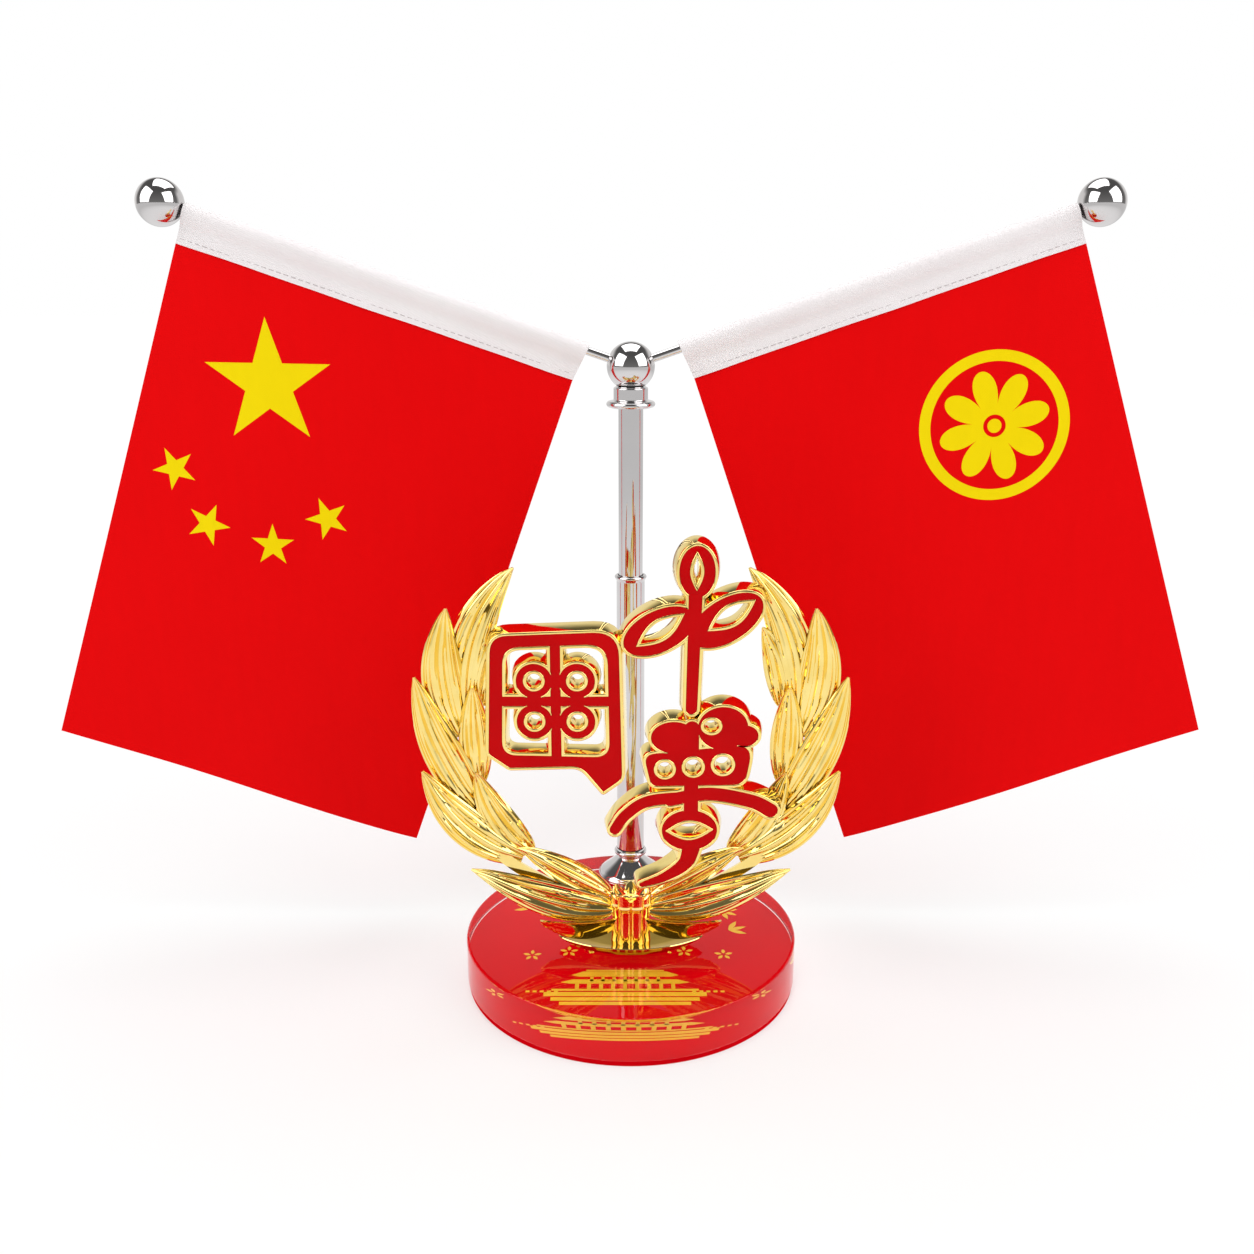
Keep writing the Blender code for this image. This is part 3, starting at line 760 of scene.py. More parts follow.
def make_disc():
    low, top, round_low, round_top = BASE_LOW, BASE_TOP, 0.45, 0.9
    profile = [(0, low)] + arc(BASE_RADIUS - round_low, low + round_low, round_low, 270, 360, 4)
    profile += arc(BASE_RADIUS - round_top, top - round_top, round_top, 0, 90, 6) + [(0, top)]
    disc = spun("disc", profile, ROUND)
    bores = [upright(2.8, low - 1, top + 1), upright(5.6, low - 1, low + 5.0)]
    for bore in bores:
        move(bore, 0, POLE_Y, 0)
    cut(disc, *bores, *pegs(2.3, top - 5.3, top + 1))
    settle(disc, ACRYLIC, "stand", ["base_disc"])
    disc.visible_shadow = False


def make_film():
    """The film, bonded just inside the disc's underside and turned down round the mat."""
    top, under, foot, inner, outer, face = BASE_LOW + 0.12, 1.3, 0.1, 57.45, 58.3, 58.05
    film = spun("artwork_film", [
        (0, under), (inner, under), (inner, foot + 0.1), (inner + 0.1, foot), (outer - 0.1, foot),
        (outer, foot + 0.1), (outer, BASE_LOW - 0.1), (face, BASE_LOW), (face, top - 0.05),
        (face - 0.05, top), (0, top)], ROUND)
    settle(film, FILM, "stand", ["base_print"])
    make_artwork(top)


def bar(cx, cy, width, depth):
    """A plain oblong."""
    x, y = width / 2, depth / 2
    return [(cx - x, cy - y), (cx + x, cy - y), (cx + x, cy + y), (cx - x, cy + y)]


def eaves(cx, y, low_half, high_half, height, flare):
    """A hipped roof seen from the front, with upturned corners."""
    return [(cx - low_half, y + flare), (cx - low_half * 0.86, y), (cx + low_half * 0.86, y),
            (cx + low_half, y + flare), (cx + high_half, y + height), (cx - high_half, y + height)]


def make_artwork(level):
    """A plain pavilion on terraces, a row of small blossoms and a few birds, in gold foil."""
    middle = -2
    shapes = [eaves(middle, -22.4, 18.5, 14.5, 3.2, 0.9),
              eaves(middle, -26.8, 22.0, 18.0, 2.6, 0.8)]
    for y, width, depth in ((-18.6, 27, 0.9), (-30.6, 50, 1.1), (-33.2, 55, 2.4), (-36.1, 50, 2.0),
                            (-38.7, 44, 1.8)):
        shapes.append(bar(middle, y, width, depth))
    shapes += [bar(-18.4 + i * 4.1, -28.6, 1.3, 3.4) for i in range(9)]
    shapes += [bar(-13.4 + i * 3.8, -24.0, 1.1, 2.8) for i in range(7)]
    for sign in (-1, 1):
        shapes += [bar(middle + sign * (23.4 + i * 2.4), -31.6, 1.3, 1.0) for i in range(5)]
    for cx, cy in ((-35.0, -8.5), (-22.0, -6.0), (19.0, -6.0), (33.0, -8.0)):
        for k in range(5):
            a = math.tau * (k / 5 + 0.05)
            near = (cx + 0.7 * math.cos(a), cy + 0.7 * math.sin(a))
            far = (cx + 3.4 * math.cos(a), cy + 3.4 * math.sin(a))
            shapes.append(almond(near, far, 1.3))
    for cx, cy, size, turn in ((36.0, 9.0, 1.0, 20), (34.5, 23.0, 0.9, -30),
                               (-38.0, 25.0, 0.9, 150), (-17.0, 22.0, 1.1, 60)):
        for spread in (-42, 0, 42):
            a = math.radians(turn + spread)
            tip = (cx + 7 * size * math.cos(a), cy + 7 * size * math.sin(a))
            shapes.append(almond((cx, cy), tip, 2.0 * size))
    foils = [lying("foil", shape, level - 0.02, level + 0.05) for shape in shapes]
    artwork = merge("artwork_gold", foils)
    settle(artwork, FOIL, "stand")


# ---- the pole ----

TURNS = 96                        # faces round each turned piece
WALL = 0.5                        # thickness of both tubes


def make_pole():
    bottom, top = BELL_LOW, lower_low.z - 0.3
    profile = [(0, 34.0), (2.8, 34.0), (2.8, bottom), (12.0, bottom)]
    profile += arc(11.7, bottom + 0.75, 0.7, -70, 60, 5)
    slope = [(11.9, 1.3), (11.35, 2.1), (9.5, 3.55), (7.5, 5.15), (5.8, 6.6), (4.85, 7.45),
             (4.75, 8.0), (5.1, 8.5)]
    profile += [tuple(p) for p in smooth_line([(r, bottom + h) for r, h in slope], 4)]
    profile += arc(5.35, bottom + 9.65, 0.9, -60, 80, 7)
    profile += [(5.35, top), (4.3, top), (4.3, 37.9), (3.8, 38.4), (0, 38.4)]
    foot = spun("pole_bell", profile, TURNS)
    settle(foot, CHROME, "stand", ["pole_foot"], POLE, TURNED)

    r, low, high = 5.2, lower_low.z, lower_high.z
    profile = [(r - WALL, low), (r - 0.05, low), (r, low + 0.1), (r, high - 2.6),
               (r + 0.1, high - 2.4)]
    profile += arc(r - 0.1, high - 1.2, 0.75, -50, 90, 8) + [(r - WALL, high - 0.5)]
    tube = spun("outer_tube", profile, TURNS)
    settle(tube, CHROME, "stand", ["lower_tube"], POLE, TURNED)

    r, low, high = 4.4, upper_low.z, upper_high.z
    inner = spun("inner_tube", [(r - WALL, low), (r - 0.1, low), (r, low + 0.1), (r, high),
                                (r - WALL, high)], TURNS)
    settle(inner, CHROME, "mast", ["upper_tube"], POLE, TURNED)
    make_collar()


def make_collar():
    """The neck on the inner tube: a rounded flange under a cup that seats the hub."""
    seat, low = HUB_RADIUS + 0.3, 198.35
    bowl = [(x, HUB.z - math.sqrt(seat * seat - x * x)) for x in (2.3, 3.0, 3.8, 4.6, 5.3)]
    profile = [(0, 193.5), (2.3, 193.5)] + bowl
    profile += arc(5.6, 205.1, 0.5, 100, 0, 5) + [(6.1, 201.4)] + arc(6.5, 201.4, 0.4, 180, 270, 3)
    profile += arc(7.55, 199.68, 1.1, 80, -80, 12)
    profile += [(6.9, low), (3.6, low), (3.6, 190.3), (3.3, 190.05), (0, 190.05)]
    collar = spun("hub_neck", profile, TURNS)
    settle(collar, CHROME, "mast", ["hub_collar"], POLE, TURNED)


# ---- the head ----

def ball_profile(radius, bore, start):
    """A ball cut flat where its bore opens, with a small chamfer there."""
    mouth = math.degrees(math.acos((bore + 0.35) / radius))
    return (arc(0, 0, radius, 90, -mouth, 40)
            + [(bore, -radius * math.sin(math.radians(mouth)) + 0.35), (bore, start), (0, start)])


KNOB_RADIUS, KNOB_REACH = 8.05, 168.6
ROD_RADIUS, ROD_START, ROD_END, ROD_ROUND = 1.5, 4.0, 165.6, 0.4


def make_head():
    deselect()
    bpy.ops.mesh.primitive_uv_sphere_add(segments=96, ring_count=48, radius=HUB_RADIUS)
    hub = named("hub_knob")
    tools = []
    for _, sign in SIDES:
        out = HUB_RADIUS
        bore = upright(1.8, 3.6, out + 1, 40)
        mouth = spun("mouth", [(0, out - 0.75), (1.75, out - 0.75), (2.6, out + 0.1),
                               (2.6, out + 1), (0, out + 1)], 40)
        lean = Matrix.Rotation(sign * (math.pi / 2 - RISE), 4, 'Y')
        for tool in (bore, mouth):
            tool.data.transform(lean)
        tools += [bore, mouth]
    tools.append(upright(2.3, -HUB_RADIUS - 1, -2.6, 32))
    cut(hub, *tools)
    settle(hub, CHROME, "head", ["hub_ball"], Matrix.Translation(HUB * MM), TURNED)

    middle = ROD_RADIUS - ROD_ROUND
    rod = spun("rod", [(0, ROD_START)] + arc(middle, ROD_START + ROD_ROUND, ROD_ROUND, -90, 0, 3)
               + arc(middle, ROD_END - ROD_ROUND, ROD_ROUND, 0, 90, 3) + [(0, ROD_END)], 40)
    knob = spun("knob", ball_profile(KNOB_RADIUS, 1.8, 2.6), TURNS)
    move(knob, 0, 0, KNOB_REACH)
    lay = Matrix.Rotation(math.pi / 2, 4, 'Y')
    for side, sign in SIDES:
        arm = twin(rod, "flag_rod_" + side, lay)
        settle(arm, CHROME, "head", ["rod_" + side], rod_place(sign), TURNED)
        end = twin(knob, "knob_" + side, lay)
        settle(end, CHROME, side + "_nut", ["finial_" + side], rod_place(sign), TURNED)
    discard(rod, knob)


# ---- the flags ----

FLAG_INNER, HOIST = 20.4, 140.0
TAPE_BOTTOM, PANEL_TOP, PANEL_BOTTOM = 11.4, 9.6, 198.3
TAPE_LENGTH = 139.8
TAPE_FOLD = 34.0                  # flat depth of the tape before it is folded round the rod
TAPE_ROUND = 2.65                 # radius of the tape's fold over the rod
PANEL_DROP = PANEL_BOTTOM - PANEL_TOP
PANEL_SHOWN = PANEL_BOTTOM - TAPE_BOTTOM


def map_sheet(piece, rule):
    """Give a piece its own map from each corner's place."""
    layer = piece.data.uv_layers.active
    for loop in piece.data.loops:
        layer.data[loop.index].uv = rule(piece.data.vertices[loop.vertex_index].co)


# how much further in towards the hub the tape's top and the cloth's top reach on each side
LAP = {"left": (4.7, 2.6), "right": (2.3, 0.7)}


def lapped(x, z, side):
    """Where a point across the flag lies once its inner edge is drawn in towards the hub."""
    top, low = LAP[side]
    across = 1.0 - (x - FLAG_INNER) / HOIST
    if z > -TAPE_BOTTOM:
        pull = low + (top - low) * (z + TAPE_BOTTOM) / (TAPE_BOTTOM + TAPE_ROUND)
    else:
        pull = low * (1.0 - (-z - TAPE_BOTTOM) / PANEL_SHOWN)
    return x - pull * max(0.0, across) ** 1.5


def sheet_wave(x, z, side):
    """How far the hanging cloth stands out of its plane."""
    fall = max(0.0, (-z - TAPE_BOTTOM) / PANEL_SHOWN)
    wave = math.sin(x / 27.0 + side * 0.9 + fall * 1.3) * 1.1
    wave += math.sin(x / 14.0 - fall * 2.1 + side) * 0.35
    curl = 1.6 * math.exp(-(x - FLAG_INNER) / 10.0)
    return wave * fall ** 1.2 * 0.8 + side * curl * min(1.0, fall * 3.0)


def make_flag(side, sign, cloth, tape):
    place = rod_place(sign)
    panel = grid("cloth_" + side, 70, 94, 1)
    reshape(panel, lambda c: Vector((FLAG_INNER + HOIST * (c.x + 0.5), 0,
                                     -PANEL_TOP - PANEL_DROP * (c.y + 0.5))))
    map_sheet(panel, lambda c: ((FLAG_INNER + HOIST - c.x) / HOIST,
                                (-c.z - TAPE_BOTTOM) / PANEL_SHOWN))
    reshape(panel, lambda c: Vector((lapped(c.x, c.z, side), sheet_wave(c.x, c.z, sign), c.z)))
    modify(panel, 'SOLIDIFY', thickness=0.34, offset=0.0)
    settle(panel, cloth, side + "_flag", ["flag_panel_" + side], place, SEWN)

    tape_piece = make_tape(side)
    settle(tape_piece, tape, side + "_flag", ["flag_sleeve_" + side], place, SEWN)
    stitches = make_stitches(side)
    settle(stitches, THREAD, side + "_flag", (), place, SEWN)


def tape_section():
    """The tape's path round the rod, from its back lower edge to its front one."""
    gap = 0.5
    down = [(gap, -TAPE_BOTTOM + 0.3 + k * 1.0) for k in range(6)]
    neck = [(0.85, -4.8), (1.75, -3.4), (2.45, -1.8)]
    over = arc(0, 0, TAPE_ROUND, -12, 90, 8)
    half = down + neck + over
    return half + [(-y, z) for y, z in reversed(half[:-1])]


def make_tape(side):
    section = tape_section()
    rows = len(section) - 1
    tape = grid("tape_" + side, 90, rows, 1)

    def fold(c):
        y, z = section[round((c.y + 0.5) * rows)]
        x = lapped(FLAG_INNER + TAPE_LENGTH * (c.x + 0.5), z, side)
        hem = max(0.0, (-z - 3.0) / 8.4)
        pull = math.sin(x / 5.3) * 0.10 + math.sin(x / 11.0 + 2) * 0.14
        return Vector((x, y + math.copysign(pull, y) * hem * 0.8, z + pull * 0.6 * hem))

    depth = [0.0]
    for a, b in zip(section, section[1:]):
        depth.append(depth[-1] + math.dist(a, b))
    map_sheet(tape, lambda c: (c.x + 0.5, depth[round((c.y + 0.5) * rows)] / depth[-1]))
    reshape(tape, fold)
    modify(tape, 'SOLIDIFY', thickness=0.3, offset=0.0)
    return tape


STITCH, STITCHES = 2.6, 54        # from one thread run to the next, and how many there are


def make_stitches(side):
    """One row of short thread runs through the tape, seen on both faces."""
    deselect()
    bpy.ops.mesh.primitive_cylinder_add(vertices=6, radius=0.17, depth=1.7)
    run = named("stitch")
    modify(run, 'BEVEL', width=0.06, segments=1, limit_method='ANGLE',
           angle_limit=math.radians(70))
    reshape(run, lambda c: Vector((c.z, c.x - 0.12 * abs(c.z), c.y)))
    runs = []
    for k in range(STITCHES):
        for face in (-1, 1):
            shift = Matrix.Translation((FLAG_INNER + 0.2 + k * STITCH, face * 0.72, -9.2))
            runs.append(twin(run, "run", shift @ Matrix.Scale(face, 4, (0, 1, 0))))
    discard(run)
    return clean(merge("stitches_" + side, runs), 1e-5)


def make_flags():
    tape = cotton_tape(HOIST, TAPE_FOLD)
    make_flag("left", -1, flag_cloth("flag_cloth_stars", HOIST, PANEL_SHOWN, state_stars), tape)
    make_flag("right", 1, flag_cloth("flag_cloth_rosette", HOIST, PANEL_SHOWN, rosette), tape)


# ---- the wreath ----

# leaves as (base, bend, tip, width, forward at the base, forward at the tip, flutes, flute depth)
BRANCH_LEAVES = [
    ((6.5, 30.6), (27.0, 30.5), (54.8, 47.2), 13.5, 1.0, 2.8, 3.4, 1.15),
    ((7.5, 35.6), (22.0, 44.5), (38.6, 54.6), 10.5, 0.2, 1.6, 2.4, 0.85),
    ((37.5, 49.0), (60.5, 58.0), (70.2, 83.4), 14.0, -1.6, 2.5, 3.6, 0.95),
    ((34.5, 51.0), (48.0, 62.0), (52.4, 82.4), 12.2, -2.0, 1.4, 3.0, 0.80),
    ((51.0, 66.0), (66.4, 87.0), (71.6, 116.6), 14.0, -2.0, 2.3, 3.6, 0.85),
    ((52.0, 76.5), (53.0, 95.0), (52.6, 112.8), 11.2, -2.4, 1.2, 2.8, 0.70),
    ((57.5, 94.0), (66.4, 115.0), (60.2, 140.0), 14.5, -2.0, 2.0, 3.6, 0.85),
    ((51.5, 104.0), (52.0, 119.0), (43.0, 133.0), 11.5, -2.6, 0.3, 2.8, 0.70),
    ((55.0, 100.0), (59.0, 130.0), (38.0, 153.4), 14.6, -2.2, 1.7, 3.2, 0.90),
]


def lobes(u, count, depth):
    """Rounded flutes across a leaf with sharp creases between them."""
    phase = (u * count * 0.5 + 0.5) % 1.0
    return depth * (1 - abs(2 * phase - 1) ** 2.2) - depth


def crease(u, t, spot, start, stop, wide, deep):
    """A fine cut groove that runs part of the way along a leaf."""
    if not start < t < stop:
        return 0.0
    fade = math.sin(math.pi * (t - start) / (stop - start)) ** 0.5
    return -deep * fade * math.exp(-((u - spot) / wide) ** 2)


def make_leaf(shape, number):
    base, bend, tip, width, near, far, flutes, depth = shape
    a, b, c = Vector(base), Vector(bend), Vector(tip)
    leaf = grid("leaf", 44, 36)
    modify(leaf, 'SOLIDIFY', thickness=1.0, offset=-1.0)
    veins = [(-0.62 + 0.07 * (number % 3), 0.12, 0.70), (-0.20, 0.30, 0.92),
             (0.18 + 0.05 * (number % 2), 0.10, 0.74), (0.58, 0.34, 0.86)]

    def form(p):
        t, u, back = (p.x + 1) / 2, p.y, p.z < -0.5
        spine = a.lerp(b, t).lerp(b.lerp(c, t), t)
        way = ((b - a).lerp(c - b, t)).normalized()
        across = Vector((-way.y, way.x))
        swell = 0.34 * (1 - t) ** 1.5 + 0.86 * max(0.0, math.sin(math.pi * t ** 0.95)) ** 0.72
        half = max(width / 2 * swell, 0.95 * min(1.0, (1.0 - t) * 22 + 0.15) ** 0.5)
        bow = 1 - abs(u) ** 2.4
        thick = 1.75 * min(1.0, 0.30 + swell * 0.75)
        if back:
            height = -thick * 0.85 * bow - 0.15
        else:
            height = thick * bow + 0.15
            height += lobes(u, flutes, depth) * min(1.0, swell * 1.4) * (1 - abs(u) ** 6)
            for spot, start, stop in veins:
                height += crease(u, t, spot, start, stop, 0.055, 0.85)
            edge = min(1.0, swell * 1.6)
            height += 0.42 * edge * math.exp(-((abs(u) - 0.90) / 0.055) ** 2)
            height -= 0.30 * edge * math.exp(-((abs(u) - 0.77) / 0.05) ** 2)
        forward = near + (far - near) * t
        curl = 1.5 * max(0.0, (t - 0.86) / 0.14) ** 2
        place = spine + across * (u * half)
        return Vector((place.x, WREATH_Y - forward - height - curl, place.y))

    reshape(leaf, form)
    clean(leaf, 1e-3)
    return leaf


def pair(piece, name, node):
    """Settle a piece on the right and its mirror image on the left."""
    for side, sign in SIDES:
        made = clean(twin(piece, name + side, MIRROR if sign < 0 else None))
        settle(made, GOLD, "stand", [node + side], None, CAST)
    discard(piece)


def make_wreath():
    leaves = [make_leaf(shape, i) for i, shape in enumerate(BRANCH_LEAVES)]
    stem = [(9, 33), (30, 40), (50, 56), (61, 80), (62, 104), (54, 126)]
    stem_curve = drafted("stem", ribbon(stem, 5.0, 2.2), WREATH_Y - 0.2, ribbon(stem, 4.0, 1.4),
                         WREATH_Y + 1.9)
    branch = merge("branch", leaves + [stem_curve])
    pair(branch, "branch_of_leaves_", "wreath_branch_")
    make_lips()
    make_band()
    make_dish()


def make_lips():
    """The low pair of leaves: a bright rolled upper edge over a hollow polished face."""
    lip = grid("lip", 44, 26)
    modify(lip, 'SOLIDIFY', thickness=1.0, offset=-1.0)

    def form(p):
        t, u, back = (p.x + 1) / 2, p.y, p.z < -0.5
        x = 5.0 + 26.6 * t
        swell = max(0.10, math.sin(math.pi * (0.16 + 0.83 * t)) ** 0.7)
        crest = 29.0 + 0.5 * math.sin(math.pi * t) ** 1.5 - 1.9 * t
        z = crest - 3.9 * swell * (1 - u)
        y = DISH_Y - 0.8 - 3.4 * math.sin(math.pi * (0.15 + 0.83 * t)) - 1.5 * u * swell
        bead = math.exp(-((u - 0.86) / 0.12) ** 2)
        hollow = (1 - u * u) * 0.9 * swell
        if back:
            y += 0.9 + hollow * 0.5
        else:
            y += hollow - 0.5 * bead * swell - 0.5 * math.exp(-((t - 0.96) / 0.04) ** 2)
        return Vector((x, y, z + 0.3 * bead * swell))

    reshape(lip, form)
    clean(lip, 1e-3)
    pair(lip, "low_leaf_", "wreath_low_leaf_")


def make_band():
    """The bound stalks: ribs that gather at the waist and open into a pointed crown."""
    low, high = 18.7, 38.0
    profile = [(0.0, low)]
    for i in range(41):
        t = i / 40
        waist = 6.0 + 0.9 * (1 - t) ** 4 + 1.9 * max(0.0, t - 0.45) ** 1.5
        profile.append((waist, low + (high - low) * t))
    profile += [(6.2, high + 0.1), (5.2, high - 1.2), (3.4, high - 2.6), (0.0, high - 3.0)]
    band = spun("bound_stalks", profile, 168)

    def rib(c):
        a = math.atan2(c.y, c.x)
        r = math.hypot(c.x, c.y)
        t = (c.z - low) / (high - low)
        wave = abs(math.cos(a * 3.5 + math.pi / 4))
        if r > 4.8:
            r += (wave ** 0.55 - 0.7) * (1.5 + 1.1 * max(0.0, t - 0.7))
            r += 0.38 * math.exp(-((t - 0.76) / 0.028) ** 2)
            if t > 0.78:
                c.z += (wave ** 1.3 - 0.75) * 2.6 * ((t - 0.78) / 0.22) ** 1.5
            if t < 0.16:
                c.z += (0.6 - wave) * 1.6 * (0.16 - t) / 0.16
        return Vector((r * math.cos(a), DISH_Y + r * math.sin(a) * 0.84, c.z))

    reshape(band, rib)
    settle(clean(band), GOLD, "stand", ["wreath_band"], None, CAST)


def make_dish():
    """A boat-shaped dish: thin bright rim, hollow inside, walls that lean out."""
    low, floor = BASE_TOP + 0.3, 2.4
    wall = [(0, 0), (0.80, 0), (0.84, 0.25), (0.93, 1.6), (0.985, 2.8), (1.0, 3.1), (0.99, 3.35),
            (0.975, 3.2), (0.955, 2.75), (0.92, 2.5), (0.6, floor), (0.3, floor), (0, floor)]
    dish = spun("boat_dish", [(r, low + h) for r, h in wall], 128)

    def boat(c):
        r = math.hypot(c.x, c.y)
        if r < 1e-6:
            return Vector((0, DISH_Y, c.z))
        ca, sa = c.x / r, c.y / r
        long, deep = 25.4, 9.8 if sa < 0 else 8.0
        return Vector((long * r * ca, DISH_Y + deep * r * sa * abs(sa) ** 0.55, c.z))

    unite(clean(reshape(dish, boat)), *pegs(2.0, BASE_TOP - 5.0, low + 0.5))
    settle(dish, DISH_GOLD, "stand", ["wreath_foot"], None, CAST)


# ---- the ornament ----

FACE = -19.6                      # front of the gold rims
RECESS = -18.8                    # floor under the enamel
ENAMEL_FACE = -19.3
BACK = -12.2
DRAFT = 1.1                       # how far the side walls lean out towards the back
RIM = 1.0                         # width of the gold rim round the enamel


def lattice_design(grow):
    """A framed window crossed by bars, with a ring in each quarter."""
    frame_shape = rounded([(-48.0, 91.4, 3), (-40.5, 86.0, 3), (-17.0, 86.6, 6), (-9.4, 77.0, 1.2),
                           (-2.0, 82.5, 5), (-3.2, 134.8, 9), (-46.4, 133.2, 7)], grow)
    window = rounded([(-41.6, 92.4, 4), (-8.0, 91.6, 4), (-8.6, 128.8, 6), (-40.6, 127.6, 5)],
                     -grow)
    x, z, reach = -24.6, 110.2, 7.0
    quarters = [(x + reach * i, z + reach * k) for i in (-1, 1) for k in (-1, 1)]
    bars = [ribbon([(x, 130.0), (x, 90.0)], 5.2, 5.2, grow, 1),
            ribbon([(-43.0, z), (-6.0, z)], 5.2, 5.2, grow, 1)]
    bars += [oval(i, k, 6.8, 6.8, grow) for i, k in quarters]
    holes = [oval(i, k, 2.6, 2.6, -grow, count=32) for i, k in quarters]
    return [frame_shape], [window], bars, holes


def bud_design(grow):
    """A bud on a stem with a broad leaf on each side."""
    shapes = [oval(21.0, 153.6, 6.7, 9.4, grow), oval(9.0, 134.0, 13.4, 7.8, grow, 27),
              oval(30.6, 137.6, 14.0, 8.0, grow, 33),
              ribbon([(20.6, 150.0), (20.2, 130.0), (19.7, 107.6)], 6.4, 5.6, grow)]
    holes = [almond((4.0, 130.6), (14.6, 138.2), 3.4, 1 - grow),
             almond((27.0, 135.8), (37.2, 142.8), 3.6, 1 - grow),
             almond((20.9, 150.4), (20.9, 157.2), 0.6, 1 - grow)]
    return shapes, holes, [], []


def cloud_design(grow):
    """A cloud of lobes over three round windows, an arm to each side, a knot and a long tail."""
    shapes = [rounded([(6.0, 79.4, 4), (38.6, 80.0, 6), (41.4, 96.4, 6), (3.0, 92.4, 4.2)], grow),
              oval(30.2, 100.8, 9.2, 8.4, grow), oval(14.0, 97.6, 8.4, 6.4, grow),
              oval(37.4, 98.2, 5.4, 4.6, grow),
              ribbon([(13.0, 75.4), (26.0, 77.6), (40.0, 75.0), (46.6, 71.6)], 6.2, 6.8, grow),
              ribbon([(20.0, 76.4), (6.0, 75.0), (-1.6, 70.0), (-5.4, 64.6)], 6.0, 5.4, grow),
              oval(19.6, 64.4, 10.2, 8.2, grow),
              ribbon([(20.0, 101.0), (20.0, 66.0)], 6.6, 6.6, grow, 2),
              ribbon([(20.6, 60.0), (18.4, 52.4), (11.6, 47.2), (3.6, 44.2)], 8.4, 3.4, grow)]
    holes = [oval(11.2, 86.4, 2.7, 2.7, -grow, count=32),
             oval(20.6, 87.2, 2.9, 2.9, -grow, count=32),
             oval(30.4, 88.0, 3.1, 3.1, -grow, count=32),
             almond((14.6, 64.2), (24.6, 64.6), 3.4, 1 - grow),
             oval(26.4, 101.6, 2.6, 2.2, -grow, count=32)]
    return shapes, holes, [], []


def built(name, design, near_grow, near, far_grow, far):
    """The solid of a design between two depths: shapes, less holes, plus bars, less their holes."""
    groups = list(zip(design(near_grow), design(far_grow)))
    solid = None
    for i, (fronts, backs) in enumerate(groups):
        for front, back in zip(fronts, backs):
            reach = 0.0 if i % 2 == 0 else 1.0
            part = drafted("part", front, near - reach, back, far + reach)
            if solid is None:
                solid = part
            elif i % 2 == 0:
                unite(solid, part)
            else:
                cut(solid, part)
    solid.name = name
    return solid


def make_openwork(name, design):
    casting = built(name + "_gold", design, 0.0, FACE, DRAFT, BACK)
    recess = built("recess", design, -RIM, FACE - 0.5, -RIM, RECESS)
    cut(casting, recess)
    clean(casting, 0.04)
    modify(casting, 'BEVEL', width=0.3, segments=3, limit_method='ANGLE',
           angle_limit=math.radians(55), use_clamp_overlap=False)
    settle(casting, GOLD, "stand", [name + "_casting"], None, OPENWORK)
    enamel = built(name + "_glaze", design, -RIM - 0.02, ENAMEL_FACE, -RIM - 0.02, RECESS + 0.1)
    modify(enamel, 'BEVEL', width=0.15, segments=2, limit_method='ANGLE',
           angle_limit=math.radians(50), use_clamp_overlap=True)
    settle(enamel, ENAMEL, "stand", [name + "_enamel"], None, OPENWORK)


def make_pins():
    """Short posts that carry the ornament on the leaves behind it."""
    post = spun("post", [(0, -1.7), (1.7, 0)] + arc(1.3, 3.4, 0.4, 0, 90, 3) + [(0, 3.8)], 32)
    reshape(post, lambda c: Vector((c.x, -c.z, c.y)))
    spots = ((-45.0, 100.0), (-45.0, 122.0), (42.0, 143.0), (47.0, 72.5), (6.0, 45.0))
    posts = [twin(post, "post", Matrix.Translation((x, -9.3, z))) for x, z in spots]
    discard(post)
    settle(clean(merge("ornament_posts", posts)), GOLD, "stand", (), None, CAST)


# ---- lights, camera, floor ----

def make_world():
    """White to the eye. To the pieces it is dim, with a bright wall far behind them."""
    world = bpy.data.worlds.new("studio")
    bpy.context.scene.world = world
    world.use_nodes = True
    sky = Recipe(world.node_tree)
    sky.tree.nodes.clear()
    _, y, z = sky.split(sky.add("ShaderNodeTexCoord").outputs["Generated"])
    wall = sky.ramp(y, 0.25, 0.55) * sky.ramp(z, 0.62, 0.40)
    glow = sky.ramp(z, 0.0, 0.8, 0.20, 0.10) + wall * 0.66
    dim = sky.add("ShaderNodeBackground", None, {"Color": (1, 0.99, 0.98), "Strength": glow})
    white = sky.add("ShaderNodeBackground", None, {"Color": (1, 1, 1), "Strength": 1.0})
    seen = sky.add("ShaderNodeLightPath").outputs["Is Camera Ray"]
    both = sky.add("ShaderNodeMixShader", None, {0: seen, 1: dim.outputs[0], 2: white.outputs[0]})
    sky.add("ShaderNodeOutputWorld", None, {"Surface": both.outputs[0]})


def softbox(name, way, distance, width, height, glow):
    """An area light out along a direction from the hub, facing it, of a given brightness."""
    target = Vector((0, 0, 0.13))
    spot = target + Vector(way).normalized() * distance
    data = bpy.data.lights.new(name, 'AREA')
    data.shape = 'RECTANGLE'
    data.size, data.size_y = width, height
    data.energy = glow * math.pi * width * height
    light = bpy.data.objects.new(name, data)
    light.location = spot
    light.rotation_euler = (target - spot).to_track_quat('-Z', 'Y').to_euler()
    bpy.context.collection.objects.link(light)


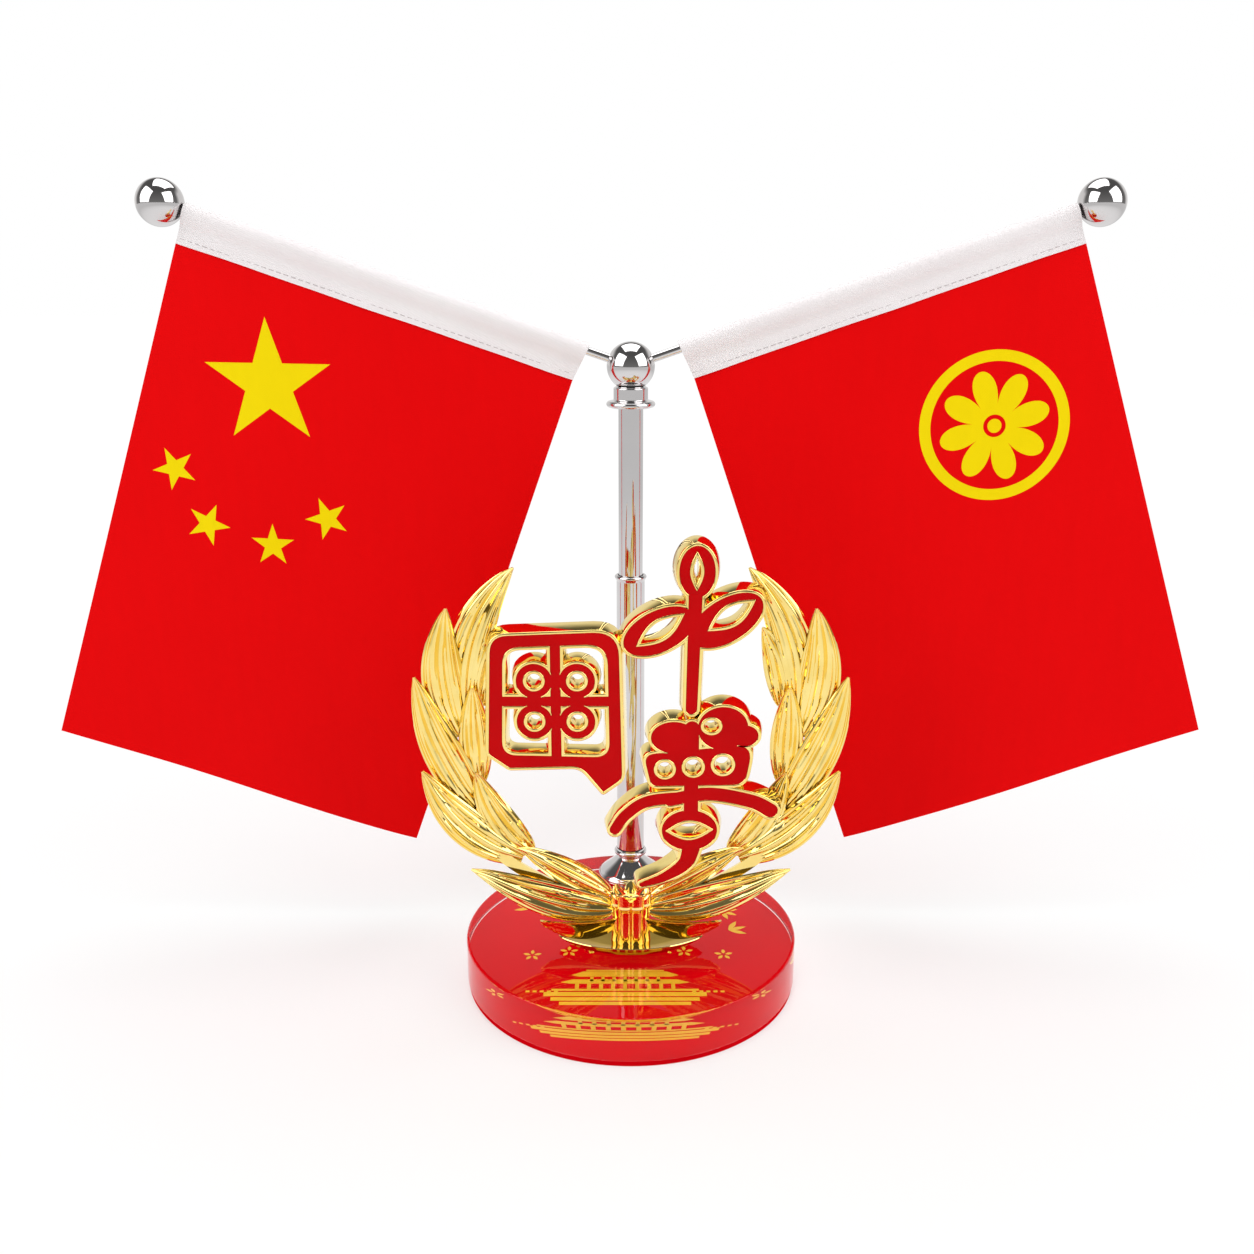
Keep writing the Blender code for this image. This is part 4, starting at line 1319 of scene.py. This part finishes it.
def make_floor():
    """A pale floor, lit a little from within, so that it fades to white away from the stand."""
    deselect()
    bpy.ops.mesh.primitive_circle_add(vertices=96, radius=6.0, fill_type='NGON')
    floor = named("floor")
    surface = Finish("pale_floor", {"Base Color": (0.93, 0.93, 0.93), "Roughness": 0.55,
                                    "Specular IOR Level": 0.2})
    x, y, _ = surface.split(surface.where())
    reach = surface.maths('SQRT', x * x + y * y)
    far = surface.step(reach, 0.06, 0.42) * 0.55 + 0.45
    seen = Amount(surface, surface.add("ShaderNodeLightPath").outputs["Is Camera Ray"])
    mirrored = 1.0 - surface.step(reach, 0.3, 1.1) * 0.28
    lit = surface.add("ShaderNodeEmission", None, {
        "Color": (1, 1, 1), "Strength": mirrored + seen * (1.02 - mirrored)})
    both = surface.add("ShaderNodeMixShader", None, {0: far, 1: surface.shader.outputs[0],
                                                     2: lit.outputs[0]})
    surface.tree.links.new(both.outputs[0], surface.tree.nodes["Material Output"].inputs["Surface"])
    floor.data.materials.append(surface.material)


LENS, SENSOR = 36.78, 36.0
CAMERA_AT, CAMERA_TILT = (-0.001345, -0.41415, 0.24882), 73.98


def make_studio():
    make_world()
    softbox("top_box", (0, 0.27, 0.96), 1.15, 0.95, 1.05, 2.6)
    for side, sign in SIDES:
        softbox(side + "_box", (sign * 0.74, -0.40, 0.50), 1.15, 1.0, 1.05, 2.55)
    make_floor()
    data = bpy.data.cameras.new("camera")
    data.lens = LENS
    data.sensor_width = SENSOR
    data.clip_start = 0.01
    camera = bpy.data.objects.new("camera", data)
    camera.location = CAMERA_AT
    camera.rotation_euler = (math.radians(CAMERA_TILT), 0, 0)
    bpy.context.collection.objects.link(camera)
    bpy.context.scene.camera = camera
    bpy.context.scene.view_settings.view_transform = 'Standard'


# ---- put together ----

make_disc()
make_film()
make_pole()
make_head()
make_flags()
make_wreath()
make_openwork("lattice", lattice_design)
make_openwork("bud", bud_design)
make_openwork("cloud", cloud_design)
make_pins()

KEPT = {"base_mat": foam(), "pole_screw": zinc(), "pole_washer": zinc(), "hub_stud": zinc(),
        "tube_plug": moulded_plastic()}
for node_name, finish in KEPT.items():
    node = frame["nodes"][node_name]
    node.data.materials.clear()
    node.data.materials.append(finish.material)

make_studio()
deselect()
bpy.context.view_layer.update()
